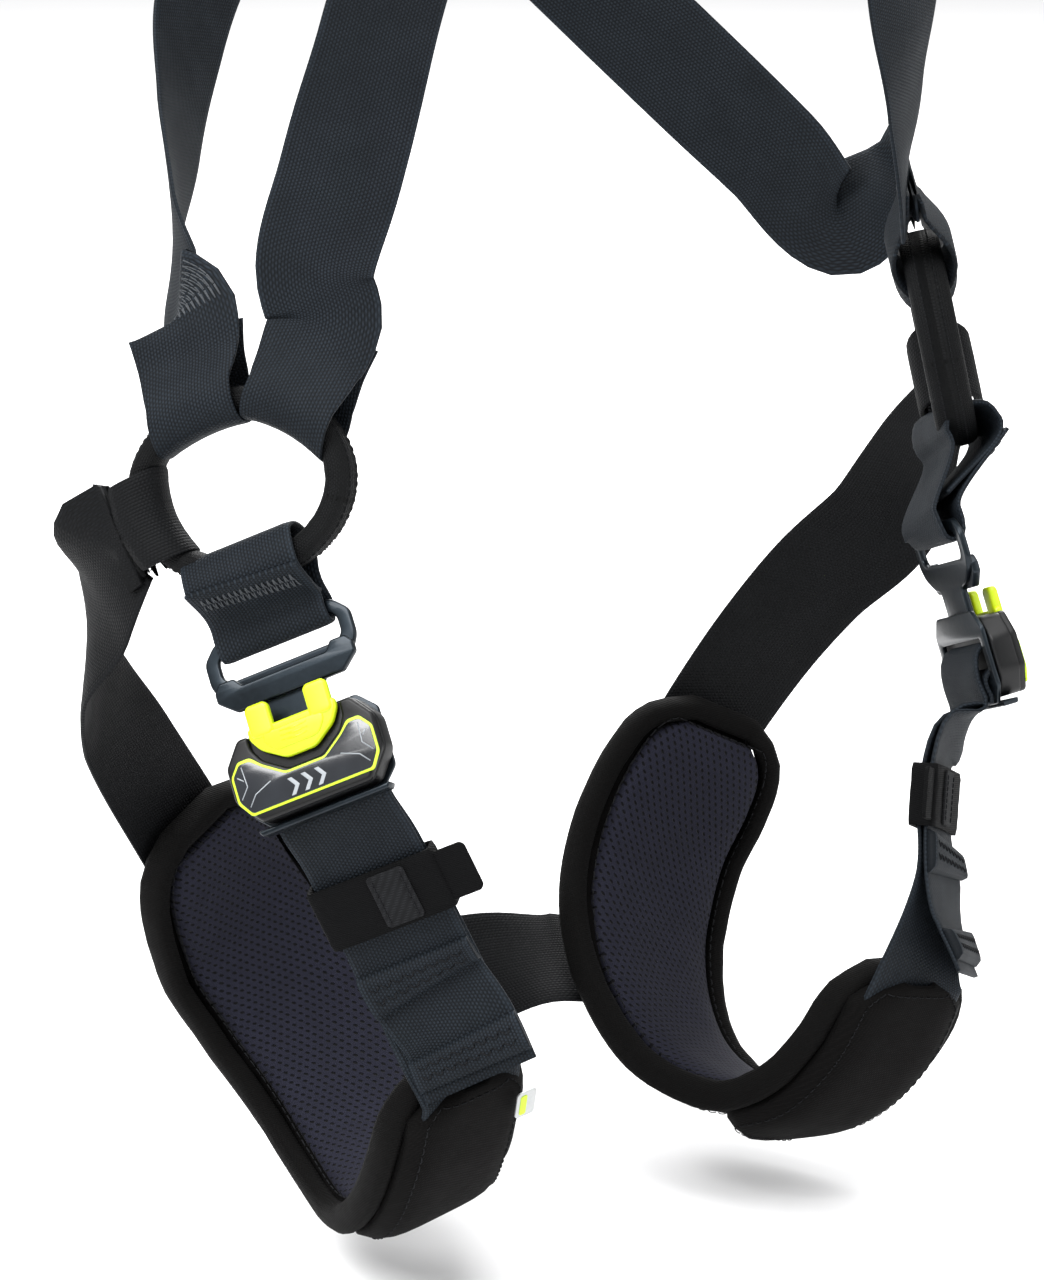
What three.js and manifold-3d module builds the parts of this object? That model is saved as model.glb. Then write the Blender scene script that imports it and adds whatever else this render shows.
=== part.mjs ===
// A full body tree climbing harness in its worn shape, in millimetres.
// +X is the wearer's left, -Y the wearer's front and +Z up. The origin is on the body's axis at
// hip height. Every strap is a ribbon: a flat band swept along a hand-chosen route.
import * as THREE from 'three';
import { mergeVertices } from 'three/addons/utils/BufferGeometryUtils.js';
import Module from 'manifold-3d';

const wasm = await Module();
wasm.setup();

// ---------------------------------------------------------------- driving dimensions

const WEBBING = { width: 45, thickness: 2 };
const CHEST_WEBBING = { width: 25, thickness: 2 };
const GAP = 0.4; // clear space kept between two touching pieces

const RING = {
  longRadius: 39, shortRadius: 31, // of the bar's centre line
  barRadial: 10, barAxial: 16, coverThickness: 1.6, slit: 1.2,
  loopWidth: 32, loopClearance: 3.7, steps: 28,
};

const BUCKLE = {
  width: 60, plateThickness: 1.8, frameThickness: 2.6,
  frameTop: 55.5, windowTop: 50.5, windowBottom: 39.5, windowWidth: 49, shoulder: 28.5,
  coverTop: 16, coverBottom: -16, coverDepth: 13, ceiling: 9.6, recessFloor: 10.8,
  adjusterY: 0.3, adjusterN: 4.4, adjusterRadius: 2.2,
};

const SLIDER = { travel: 2.6, earWidth: 9, earHeight: 12, earY: 20, earRise: 1.6 };

const DORSAL = { y: 114, z: 345, width: 84, height: 74, thickness: 4 };
const D_RING = { width: 58, height: 62, hole: 40, holeHeight: 40, thickness: 8 };
const CHEST_Z = 335;

// ---------------------------------------------------------------- materials

const makeMaterial = (color, roughness, metalness) => () =>
  new THREE.MeshStandardMaterial({ color, roughness, metalness });
const webbingMaterial = makeMaterial(0x232a31, 0.75, 0);
const sleeveMaterial = makeMaterial(0x15171a, 0.85, 0);
const elasticMaterial = makeMaterial(0x17191b, 0.85, 0);
const shellMaterial = makeMaterial(0x141414, 0.9, 0);
const foamMaterial = makeMaterial(0x2b2b2e, 0.95, 0);
const meshLiningMaterial = makeMaterial(0x2a2d40, 0.9, 0);
const darkMetalMaterial = makeMaterial(0x2e3a44, 0.42, 0.85);
const steelMaterial = makeMaterial(0x8b9096, 0.35, 1);
const plasticMaterial = makeMaterial(0x15171a, 0.5, 0);
const limeMaterial = makeMaterial(0xc6e000, 0.45, 0);
const labelMaterial = makeMaterial(0x1b1e22, 0.25, 0);
const tagMaterial = makeMaterial(0xb9bec2, 0.5, 0);

// ---------------------------------------------------------------- vectors and frames

const vec = (x, y, z) => new THREE.Vector3(x, y, z);

// A point of the harness on one side: side is +1 for the wearer's left and -1 for the right.
const on = (side, out, back, up) => vec(side * out, back, up);

// A right-handed frame at a point: x across, y up along the piece, z facing out.
function frameAt(origin, up, face) {
  const z = face.clone().normalize();
  const x = up.clone().cross(z).normalize();
  const y = z.clone().cross(x);
  return new THREE.Matrix4().makeBasis(x, y, z).setPosition(origin);
}

const place = (frame, x, y, z) => vec(x, y, z).applyMatrix4(frame);
const turn = (frame, x, y, z) => vec(x, y, z).transformDirection(frame);

// ---------------------------------------------------------------- closed bodies

// Joins equal rings of points into one closed body. The first and last ring are joined to each
// other when the body closes on itself, and are capped when it doesn't.
function loft(rings, closes = false) {
  const count = rings[0].length;
  const positions = rings.flat().flatMap((p) => [p.x, p.y, p.z]);
  const index = [];
  const spans = closes ? rings.length : rings.length - 1;
  for (let i = 0; i < spans; i += 1) {
    const here = i * count;
    const next = ((i + 1) % rings.length) * count;
    for (let k = 0; k < count; k += 1) {
      const m = (k + 1) % count;
      index.push(here + k, next + m, next + k, here + k, here + m, next + m);
    }
  }
  const last = (rings.length - 1) * count;
  for (let k = 0; !closes && 2 * k < count - 2; k += 1) {
    const [a, b, c, d] = [k, k + 1, count - 2 - k, count - 1 - k];
    index.push(a, d, b, last + a, last + b, last + d);
    if (b < c) index.push(b, d, c, last + b, last + c, last + d);
  }
  const geometry = new THREE.BufferGeometry();
  geometry.setAttribute('position', new THREE.Float32BufferAttribute(positions, 3));
  geometry.setIndex(index);
  return facingOut(geometry);
}

// Turns a closed geometry's faces round when they point inwards.
function facingOut(geometry) {
  const p = geometry.getAttribute('position');
  const order = geometry.getIndex().array;
  const corner = (i) => new THREE.Vector3().fromBufferAttribute(p, order[i]);
  let volume = 0;
  for (let i = 0; i < order.length; i += 3) {
    volume += corner(i).dot(corner(i + 1).cross(corner(i + 2)));
  }
  if (volume < 0) {
    for (let i = 0; i < order.length; i += 3) {
      [order[i + 1], order[i + 2]] = [order[i + 2], order[i + 1]];
    }
  }
  geometry.computeVertexNormals();
  return geometry;
}

function solidOf(geometry) {
  const bare = geometry.clone();
  bare.deleteAttribute('normal');
  bare.deleteAttribute('uv');
  const merged = mergeVertices(bare, 1e-4);
  return new wasm.Manifold(new wasm.Mesh({
    numProp: 3,
    vertProperties: new Float32Array(merged.getAttribute('position').array),
    triVerts: new Uint32Array(merged.getIndex().array),
  }));
}

function geometryOf(solid) {
  const { vertProperties, triVerts } = solid.getMesh();
  const geometry = new THREE.BufferGeometry();
  geometry.setAttribute('position', new THREE.BufferAttribute(vertProperties, 3));
  geometry.setIndex(new THREE.BufferAttribute(triVerts, 1));
  geometry.computeVertexNormals();
  return geometry;
}

// The first geometry with the second list joined to it and the third list cut from it.
function carve(base, joined, removed) {
  let solid = solidOf(base);
  for (const piece of joined) solid = solid.add(solidOf(piece));
  for (const piece of removed) solid = solid.subtract(solidOf(piece));
  return geometryOf(solid);
}

function block(width, height, depth, x, y, z) {
  return new THREE.BoxGeometry(width, height, depth).translate(x, y, z);
}

// A flat piece between two heights of z, from an outline of [x, y] points.
function slab(outline, z0, z1, holes = []) {
  const shape = new THREE.Shape(outline.map(([x, y]) => new THREE.Vector2(x, y)));
  for (const hole of holes) {
    shape.holes.push(new THREE.Path(hole.map(([x, y]) => new THREE.Vector2(x, y))));
  }
  const depth = z1 - z0;
  return new THREE.ExtrudeGeometry(shape, { depth, bevelEnabled: false }).translate(0, 0, z0);
}

// A rectangle with its corners cut off at 45 degrees, as [x, y] points.
function chamfered(width, y0, y1, cut) {
  const w = width / 2;
  return [
    [-w + cut, y0], [w - cut, y0], [w, y0 + cut], [w, y1 - cut],
    [w - cut, y1], [-w + cut, y1], [-w, y1 - cut], [-w, y0 + cut],
  ];
}

function add(group, name, geometry, material) {
  const mesh = new THREE.Mesh(geometry, material());
  mesh.name = name;
  group.add(mesh);
  return mesh;
}

function placedGroup(parent, frame) {
  const group = new THREE.Group();
  group.applyMatrix4(frame);
  parent.add(group);
  return group;
}

// ---------------------------------------------------------------- ribbons

// A station of a ribbon's route: a point of its centre line, the way its outer face looks, and
// its width. The section's edges can sit off the straight line across: slant moves the edge that
// lies towards side forwards and the other one back, and bow moves both edges the same way.
function station(at, face, width, slant = vec(0, 0, 0), bow = vec(0, 0, 0), side = vec(0, 0, 0)) {
  return { at, face: face.clone().normalize(), width, slant, bow, side };
}

// Samples of a route, closer together where it is short or turns, each with its own directions.
function sampleRoute(stations, step) {
  const line = new THREE.CatmullRomCurve3(stations.map((s) => s.at), false, 'centripetal');
  const faces = new THREE.CatmullRomCurve3(stations.map((s) => s.face), false, 'catmullrom', 0.3);
  const samples = [];
  const spans = stations.length - 1;
  for (let i = 0; i < spans; i += 1) {
    const [from, to] = [stations[i], stations[i + 1]];
    const cells = Math.max(1, Math.ceil(from.at.distanceTo(to.at) / step));
    for (let k = 0; k < cells + (i === spans - 1 ? 1 : 0); k += 1) {
      const t = (i + k / cells) / spans;
      const tangent = line.getTangent(t);
      const across = tangent.clone().cross(faces.getPoint(t)).normalize();
      const flip = Math.sign(across.dot(from.side.clone().add(to.side)));
      samples.push({
        at: line.getPoint(t),
        across,
        face: across.clone().cross(tangent).normalize(),
        width: THREE.MathUtils.lerp(from.width, to.width, k / cells),
        slant: from.slant.clone().lerp(to.slant, k / cells).multiplyScalar(flip),
        bow: from.bow.clone().lerp(to.bow, k / cells),
      });
    }
  }
  return samples;
}

// A band along a route as one closed body. Its two faces lie at the given heights above the
// route, counted along the outer face's direction.
function band(stations, low, high, step) {
  const rings = sampleRoute(stations, step).map(({ at, across, face, width, slant, bow }) => {
    const rail = (s, height) => at.clone()
      .addScaledVector(across, (s * width) / 2)
      .addScaledVector(slant, s)
      .addScaledVector(bow, s * s)
      .addScaledVector(face, height);
    return [rail(-1, high), rail(0, high), rail(1, high), rail(1, low), rail(0, low), rail(-1, low)];
  });
  return loft(rings);
}

function ribbon(stations, thickness, step = 12) {
  return band(stations, -thickness / 2, thickness / 2, step);
}

// ---------------------------------------------------------------- hip rings

// Each hip ring: its centre, the tilt of its long axis in its own plane, and the angles at which
// the four straps sit on it and leave it, counted from the wearer's front upwards.
const HIP = {
  left: {
    side: 1,
    centre: on(1, 162, -50, 107),
    roll: 78,
    loops: {
      front: { at: 75, pull: 84, wide: 25 },
      back: { at: 126, pull: 115, wide: 24 },
      rear: { at: 217, pull: 225, wide: 25 },
      link: { at: 278, pull: 276, wide: 26 },
    },
  },
  right: {
    side: -1,
    centre: on(-1, 158, -48, 93),
    roll: 17,
    loops: {
      front: { at: 56, pull: 75, wide: 30 },
      back: { at: 125, pull: 106, wide: 28 },
      rear: { at: 205, pull: 210, wide: 26 },
      link: { at: 280, pull: 284, wide: 30 },
    },
  },
};

// The ring's frame has x towards the wearer's front, y up and z away from the body.
function ringFrame({ side, centre }) {
  const face = on(side, 0.801, -0.561, 0.208).normalize();
  const ahead = vec(side * -0.574, -0.819, 0);
  const up = face.clone().cross(ahead).multiplyScalar(side < 0 ? 1 : -1);
  return new THREE.Matrix4().makeBasis(ahead, up, face).setPosition(centre);
}

// A point of the bar's centre line at an angle, with its outward and sideways directions there.
function ringPoint(hip, degrees) {
  const roll = THREE.MathUtils.degToRad(hip.roll);
  const angle = THREE.MathUtils.degToRad(degrees) - roll;
  const { longRadius: a, shortRadius: b } = RING;
  const t = Math.atan2(a * Math.sin(angle), b * Math.cos(angle));
  const rotate = (x, y) => [
    x * Math.cos(roll) - y * Math.sin(roll),
    x * Math.sin(roll) + y * Math.cos(roll),
  ];
  const at = rotate(a * Math.cos(t), b * Math.sin(t));
  const size = Math.hypot(b * Math.cos(t), a * Math.sin(t));
  const out = rotate((b * Math.cos(t)) / size, (a * Math.sin(t)) / size);
  return { at, out };
}

// The bar's section, as [outwards, along the ring's axis] points of an eight-sided outline.
function barSection(radial, axial) {
  const [r, n] = [radial / 2, axial / 2];
  const cut = Math.min(r, n) * 0.55;
  return [
    [-r, -n + cut], [-r + cut, -n], [r - cut, -n], [r, -n + cut],
    [r, n - cut], [r - cut, n], [-r + cut, n], [-r, n - cut],
  ];
}

function sweepRing(hip, section) {
  const rings = [];
  for (let i = 0; i < RING.steps; i += 1) {
    const { at, out } = ringPoint(hip, (360 * i) / RING.steps);
    rings.push(section.map(([r, n]) => vec(at[0] + out[0] * r, at[1] + out[1] * r, n)));
  }
  return loft(rings, true);
}

function hipRingCover(hip) {
  const inset = RING.coverThickness;
  const outer = barSection(RING.barRadial, RING.barAxial);
  const inner = barSection(RING.barRadial - 2 * inset, RING.barAxial - 2 * inset).reverse();
  const slit = RING.slit / 2;
  const edge = -RING.barRadial / 2;
  const lips = [[edge, slit], [edge + inset, slit]];
  const otherLips = [[edge + inset, -slit], [edge, -slit]];
  return sweepRing(hip, [...outer, ...lips, ...inner, ...otherLips]);
}

function hipRingCore(hip) {
  const inset = RING.coverThickness + GAP;
  return sweepRing(hip, barSection(RING.barRadial - 2 * inset, RING.barAxial - 2 * inset));
}

// ---------------------------------------------------------------- loops of webbing

// Where a line along a loop's pull crosses the bar: the distance from the loop's place on the bar,
// for a line that lies sideways of it, on the bar's centre line grown outwards by grow.
function barCrossing(hip, degrees, along, sideways, grow) {
  const here = ringPoint(hip, degrees).at;
  const offset = (turned) => {
    const { at, out } = ringPoint(hip, degrees + turned);
    const [x, y] = [at[0] + out[0] * grow - here[0], at[1] + out[1] * grow - here[1]];
    return [x * along[0] + y * along[1], y * along[0] - x * along[1]];
  };
  let [low, high] = [-75, 75];
  for (let i = 0; i < 24; i += 1) {
    const middle = (low + high) / 2;
    if (offset(middle)[1] < sideways) low = middle;
    else high = middle;
  }
  return offset(low)[0];
}

// The stations of a loop round the hip ring, in order from the outer layer, through the ring, to
// the sewn end behind the outer layer. The loop sits on the bar at one angle and the strap leaves
// at another, so its edges follow the bar while its run stays square to the pull.
function ringLoop(hip, { at: degrees, pull, wide = RING.loopWidth }, strapWidth, sewn = 30) {
  const frame = ringFrame(hip);
  const here = ringPoint(hip, degrees);
  const angle = THREE.MathUtils.degToRad(pull);
  const along = [Math.cos(angle), Math.sin(angle)];
  const bendAt = (grow) => {
    const [sooner, base, later] = [-wide / 2, 0, wide / 2].map(
      (sideways) => barCrossing(hip, degrees, along, sideways, grow));
    return { base, slant: (later - sooner) / 2, bow: (later + sooner) / 2 - base };
  };
  const onBar = bendAt(0);
  const inside = bendAt(-RING.barRadial / 2);
  const wall = RING.loopClearance + WEBBING.thickness / 2;
  const half = RING.barAxial / 2 + wall;
  const layer = WEBBING.thickness / 2 + GAP / 2;
  const outward = turn(frame, along[0], along[1], 0);
  const axis = turn(frame, 0, 0, 1);
  const towardsLater = turn(frame, -along[1], along[0], 0);
  const make = (r, n, faceR, faceN, width, share, bend = onBar) => station(
    place(frame, here.at[0] + along[0] * r, here.at[1] + along[1] * r, n),
    outward.clone().multiplyScalar(faceR).addScaledVector(axis, faceN),
    width,
    outward.clone().multiplyScalar(bend.slant * share),
    outward.clone().multiplyScalar(bend.bow * share),
    towardsLater,
  );
  const far = inside.base - wall;
  const through = (r, n, faceN) => make(r, n, -1, faceN, wide, 1, inside);
  const middle = (wide + strapWidth) / 2;
  const halfway = (8 + sewn) / 2;
  const outerHalf = [
    make(sewn + 4, layer, 0, 1, strapWidth, 0),
    make(halfway, layer + 2.4, -0.4, 1, middle, 0.55),
    make(8, half - 1.4, -0.4, 1, wide, 1),
    make(0, half, 0, 1, wide, 1),
    through(far + 1.5, half * 0.62, 0.7),
  ];
  const innerHalf = [
    through(far + 1.5, -half * 0.62, -0.7),
    make(0, -half, 0, -1, wide, 1),
    make(8, -half + 1.4, -0.4, -1, wide, 1),
    make(halfway, -layer - 2.4, -0.4, -1, middle, 0.55),
    make(sewn, -layer, 0, -1, strapWidth, 0),
  ];
  return [...outerHalf, through(far, 0, 0), ...innerHalf];
}

// ---------------------------------------------------------------- shoulder straps

// A row of a strap's route: [out to the side, back, up, turn], where turn is the angle in degrees
// between the wearer's front and the way the strap's outer face looks, opening to the side.
function routeStation(side, [out, back, up, turned, lift = 0], width) {
  const angle = THREE.MathUtils.degToRad(turned);
  const face = on(side, Math.sin(angle), -Math.cos(angle), lift);
  return station(on(side, out, back, up), face, width);
}

// From a hip ring's front loop up the chest and over the shoulder.
const CHEST_ROUTE = [
  [135, -62, 172, 52], [129, -70, 208, 36], [119, -80, 260, 14], [106, -89, 320, 10],
  [93, -84, 385, 8, 0.25], [87, -54, 443, 0, 1.2], [83, -8, 466, 0, 20],
  [75, 40, 456, 180, 1.6], [60, 80, 420, 180, 0.5], [32, 104, 380, 180, 0.15],
];
const CROSSING = [0, DORSAL.y - 2, DORSAL.z, 180];

// From the dorsal crossing down the back to the hip ring of the other side.
const BACK_ROUTE = {
  left: [
    [30, 108, 308, 176], [62, 96, 268, 170], [92, 76, 232, 163], [118, 50, 198, 150],
    [138, 26, 170, 134], [153, 4, 146, 112],
  ],
  right: [
    [32, 108, 314, 176], [66, 97, 278, 172], [97, 79, 242, 168], [121, 51, 206, 150],
    [139, 26, 178, 126], [153, 0, 152, 92],
  ],
};

function shoulderStrap(name, otherName, outwards) {
  const width = WEBBING.width;
  const [hip, otherHip] = [HIP[name], HIP[otherName]];
  const start = ringLoop(hip, hip.loops.front, width).reverse();
  const end = ringLoop(otherHip, otherHip.loops.back, width);
  const chest = CHEST_ROUTE.map((row) => routeStation(hip.side, row, width));
  const crossing = routeStation(hip.side, CROSSING, width);
  const back = BACK_ROUTE[otherName].map((row) => routeStation(otherHip.side, row, width));
  for (const stop of [chest.at(-1), crossing, back[0]]) stop.at.y += outwards;
  return ribbon([...start, ...chest, crossing, ...back, ...end], WEBBING.thickness, 24);
}

// ---------------------------------------------------------------- leg straps

const REAR_ROUTE = [
  [189, 0, 42, 96], [186, 16, 16, 128], [168, 33, -8, 150], [148, 43, -34, 160],
];

// The middle of each leg pad's inner surface, from its top behind the thigh, under the thigh and
// up to its front end: [out, back, up] of the point, the same of the outward face, and the width.
const PAD_ROUTE = [
  [124, 34, -60, 0.2, 0.96, -0.1, 38], [121, 36, -67, 0.15, 0.96, -0.15, 56],
  [110, 40, -88, 0.02, 0.95, -0.28, 66], [98, 41, -110, -0.15, 0.9, -0.4, 70],
  [84, 31, -136, -0.3, 0.69, -0.66, 70], [76, 12, -160, -0.36, 0.39, -0.85, 66],
  [76, -12, -179, -0.33, 0.13, -0.94, 62], [85, -44, -186, -0.26, -0.2, -0.93, 58],
  [94, -68, -175, -0.2, -0.5, -0.84, 56], [101, -87, -154, -0.15, -0.75, -0.6, 54],
  [104, -99, -131, -0.1, -0.93, -0.36, 52], [105, -102, -122, -0.05, -0.95, -0.3, 40],
];
const PAD_LAYERS = {
  lining: [0, 1.5], foam: [2.6, 7.2], shell: [8.3, 10], strap: 14.6, pocket: [18.8, 20.4],
};

function padStations(side, narrower = 0) {
  return PAD_ROUTE.map(([out, back, up, faceOut, faceBack, faceUp, width]) => station(
    on(side, out, back, up), on(side, faceOut, faceBack, faceUp), width - narrower));
}

// Stations of a strap that lies on a pad's outer side, from one row of the pad's route to another.
function onPad(side, rows, width) {
  const pad = padStations(side);
  return rows.map((i) => {
    const { at, face } = pad[i];
    return station(at.clone().addScaledVector(face, PAD_LAYERS.strap), face, width);
  });
}

function padLayer(side, [low, high], narrower = 0) {
  return band(padStations(side, narrower), low, high, 16);
}

// The outer panel over the front strap's sewn end.
function padPocket(side) {
  return band(padStations(side).slice(7), ...PAD_LAYERS.pocket, 16);
}

function rearStrap(hip) {
  const width = WEBBING.width;
  const start = ringLoop(hip, hip.loops.rear, width, 15).reverse();
  const route = REAR_ROUTE.map((row) => routeStation(hip.side, row, width));
  return ribbon([...start, ...route, ...onPad(hip.side, [1, 2, 3], width)], WEBBING.thickness, 14);
}

// The short strap behind the wearer that ties the two pads together.
function bridgeStrap() {
  const width = WEBBING.width;
  const half = [-1, 1].map((side) => {
    const [from, to] = [padStations(side)[4], padStations(side)[5]];
    const along = to.at.clone().sub(from.at);
    const face = from.face.clone().lerp(to.face, 0.3).normalize();
    const outwards = along.cross(face).normalize();
    outwards.multiplyScalar(Math.sign(outwards.x * side));
    const lifted = from.at.clone().lerp(to.at, 0.3).addScaledVector(face, PAD_LAYERS.strap + 4);
    const beside = (s) => lifted.clone().addScaledVector(outwards, s);
    return [16, -12, -34].map((s) => station(beside(s), face, width));
  });
  const centre = station(vec(0, 60, -152), vec(0, 0.93, -0.36), width);
  return ribbon([...half[0], centre, ...half[1].reverse()], WEBBING.thickness, 14);
}

// The leg buckles: y points up along the strap and z away from the thigh.
const LEG_BUCKLE = {
  left: {
    centre: on(1, 149, -87, -13),
    up: on(1, -0.09, 0.366, 0.925),
    face: on(1, 0.939, -0.276, 0.201),
  },
  right: {
    centre: on(-1, 152, -88, -4),
    up: on(-1, -0.045, 0.556, 0.829),
    face: on(-1, 0.789, -0.489, 0.371),
  },
};

function legBuckleFrame(name) {
  const { centre, up, face } = LEG_BUCKLE[name];
  return frameAt(centre, up, face);
}

// A maker of stations in the plane across a buckle: y along the strap and n away from the thigh.
function buckleStations(frame) {
  return (y, n, faceY, faceN) => station(
    place(frame, 0, y, n), turn(frame, 0, faceY, faceN), WEBBING.width);
}

const FRAME_MIDDLE = 2.2 + BUCKLE.frameThickness / 2; // height of the male frame above the plate

// The short band between a hip ring and a leg buckle: it goes round the ring, behind, round the
// frame's top bar, and back up in front, where its two ends meet and are sewn.
function hipLink(hip, buckle) {
  const ring = ringLoop(hip, hip.loops.link, WEBBING.width, 22);
  const bar = (BUCKLE.frameTop + BUCKLE.windowTop) / 2;
  const wall = 3.4 + WEBBING.thickness / 2;
  const at = buckleStations(buckle);
  return ribbon([
    ...ring.slice(2, 9),
    at(bar + 4, FRAME_MIDDLE - 5.3, 0.1, -1),
    at(bar, FRAME_MIDDLE - 4.6, 0, -1),
    at(bar - wall, FRAME_MIDDLE - 3, -1, -0.8),
    at(bar - wall - 1.2, FRAME_MIDDLE, -1, 0),
    at(bar - wall, FRAME_MIDDLE + 3, -1, 0.8),
    at(bar, FRAME_MIDDLE + 4.6, 0, 1),
    at(bar + 6, FRAME_MIDDLE + 5, 0, 1),
  ], WEBBING.thickness, 12);
}

// The front leg strap: from the pad's front end up behind the buckle's plate, through its window,
// round the adjuster bar and back down as the tail in front of the main run.
// The rows run down the thigh from the plate.
const FRONT_ROUTE = {
  left: [[131, -92, -45, 46, 0.1], [125, -96, -66, 42, 0.1], [119, -107, -90, 36, 0.1]],
  right: [[139, -97, -37, 53, 0.2], [129, -103, -62, 50, 0.2], [119, -109, -87, 47, 0.2]],
};
const TAIL_LIFT = 3.2; // between the centre lines of the tail and the main run
const TAIL_END = {
  left: [[120, -115, -106, 40, 0], [121, -126, -124, 42, 0]],
  right: [[113, -121, -104, 46, 0.1], [109, -130, -122, 44, 0.1]],
};

function throughAdjuster(buckle) {
  const at = buckleStations(buckle);
  const { adjusterY: y, adjusterN: n } = BUCKLE;
  return [
    at(-18, -4.4, 0, 1), at(-7, -4.2, -0.1, 1), at(0.8, -2.8, -0.4, 0.9), at(5, 0.4, -1, 0.3),
    at(5.3, n, -1, 0), at(y + 3.2, n + 2.9, -0.7, -0.7), at(y, n + 4, 0, -1),
    at(y - 3, n + 2.9, 0.7, -0.7), at(-4.6, n - 1, 1, -0.1), at(-5.7, 0.8, 0.9, -0.4),
    at(-7.6, -1.3, 0.5, -0.9), at(-11, -1.7, 0.1, -1), at(-18, -1.7, 0, -1),
  ];
}

function tailStations(side, name) {
  const lifted = FRONT_ROUTE[name].map((row) => {
    const here = routeStation(side, row, WEBBING.width);
    here.at.addScaledVector(here.face, TAIL_LIFT);
    return here;
  });
  return [...lifted, ...TAIL_END[name].map((row) => routeStation(side, row, WEBBING.width))];
}

function frontStrap(side, name, buckle) {
  const sewn = onPad(side, [8, 9, 10, 11], WEBBING.width);
  const main = FRONT_ROUTE[name].map((row) => routeStation(side, row, WEBBING.width)).reverse();
  const turned = (stop) => ({ ...stop, face: stop.face.clone().negate() });
  const tail = tailStations(side, name).map(turned);
  return ribbon([...sewn, ...main, ...throughAdjuster(buckle), ...tail], WEBBING.thickness, 13);
}

// Stations at even steps along part of a route, between two lengths measured from its start, or
// from its end when they are negative.
function stretch(stations, from, to, count) {
  const line = new THREE.CatmullRomCurve3(stations.map((s) => s.at), false, 'centripetal');
  const faces = new THREE.CatmullRomCurve3(stations.map((s) => s.face), false, 'catmullrom', 0.3);
  const length = line.getLength();
  return Array.from({ length: count }, (_, i) => {
    const distance = from + ((to - from) * i) / (count - 1);
    const u = (distance < 0 ? length + distance : distance) / length;
    const t = line.getUtoTmapping(u);
    return station(line.getPoint(t), faces.getPoint(t), stations[0].width);
  });
}

// The two sewn folds near the tail's end, which stop it slipping out of the adjuster.
const TAIL_FOLDS = { upper: [-53, -39], lower: [-18, -4] }; // from the tail's end

function tailFold(side, name, [from, to]) {
  const outer = WEBBING.thickness / 2 + 2 * GAP;
  return band(stretch(tailStations(side, name), from, to, 4), outer, outer + 3, 20);
}

// ---------------------------------------------------------------- keepers

// The elastic keeper's middle, as a length down the strap from the plate's lower edge.
const KEEPER = { height: 24, wall: 1.5, play: 2.2, at: { left: 18, right: 18.5 } };

function keeperFrame(side, name) {
  const [above, middle, below] = stretch(
    FRONT_ROUTE[name].map((row) => routeStation(side, row, WEBBING.width)),
    KEEPER.at[name] - 8, KEEPER.at[name] + 8, 3);
  const up = above.at.clone().sub(below.at).normalize();
  const face = up.clone().cross(middle.face).cross(up).normalize();
  return frameAt(middle.at.clone().addScaledVector(face, TAIL_LIFT / 2), up, face);
}

// A band round the strap and its tail, with its sewn patch in front and its tab at one edge.
function keeperBand(side) {
  const { height, wall, play } = KEEPER;
  const halfWidth = WEBBING.width / 2 + play;
  const halfDepth = (TAIL_LIFT + WEBBING.thickness) / 2 + play;
  const box = (grow) => chamfered((halfWidth + grow) * 2, -halfDepth - grow, halfDepth + grow, 1.2);
  const tube = slab(box(wall), -height / 2, height / 2, [box(0).reverse()]);
  tube.rotateX(-Math.PI / 2);
  const patch = block(16, height - 2, 1.2, side * -6, 0, halfDepth + wall + 0.4);
  const tab = block(14, height - 4, 1.6, side * -(halfWidth + wall + 6), 0, halfDepth - 1);
  return carve(tube, [patch, tab], []);
}

// ---------------------------------------------------------------- leg buckles

function malePlate() {
  const { width, frameTop, windowTop, windowBottom, windowWidth, shoulder } = BUCKLE;
  const z0 = FRAME_MIDDLE - BUCKLE.frameThickness / 2;
  const z1 = FRAME_MIDDLE + BUCKLE.frameThickness / 2;
  const half = width / 2;
  const outline = [
    [-13, 11], [13, 11], [13, shoulder], [19, shoulder + 1], [half - 3, shoulder + 6],
    [half, windowBottom], [half, frameTop - 6], [half - 6, frameTop], [6 - half, frameTop],
    [-half, frameTop - 6], [-half, windowBottom], [3 - half, shoulder + 6], [-19, shoulder + 1],
    [-13, shoulder],
  ];
  const window = chamfered(windowWidth, windowBottom, windowTop, 2).reverse();
  const latchHole = chamfered(12, 15, 21, 1).reverse();
  return slab(outline, z0, z1, [window, latchHole]);
}

// The metal plate against the thigh, with the window that the webbing passes through and two
// slots above it. Its lower edge is the strip below the housing.
function basePlate() {
  const { width, plateThickness, coverTop, coverBottom } = BUCKLE;
  const outline = chamfered(width - 2, coverBottom - 2, coverTop + 3, 7);
  const window = chamfered(WEBBING.width + 3, -8, 8, 1).reverse();
  const slotAt = (x) => chamfered(10, 11, 15, 1).map(([a, b]) => [a + x, b]).reverse();
  return slab(outline, 0, plateThickness, [window, slotAt(-14), slotAt(14)]);
}

function coverOutline(grow) {
  const { width, coverTop, coverBottom } = BUCKLE;
  const w = width / 2 + grow;
  return [
    [-w + 8, coverBottom], [w - 8, coverBottom], [w, coverBottom + 10], [w, coverTop - 9],
    [w - 7, coverTop], [-w + 7, coverTop], [-w, coverTop - 9], [-w, coverBottom + 10],
  ];
}

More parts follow.
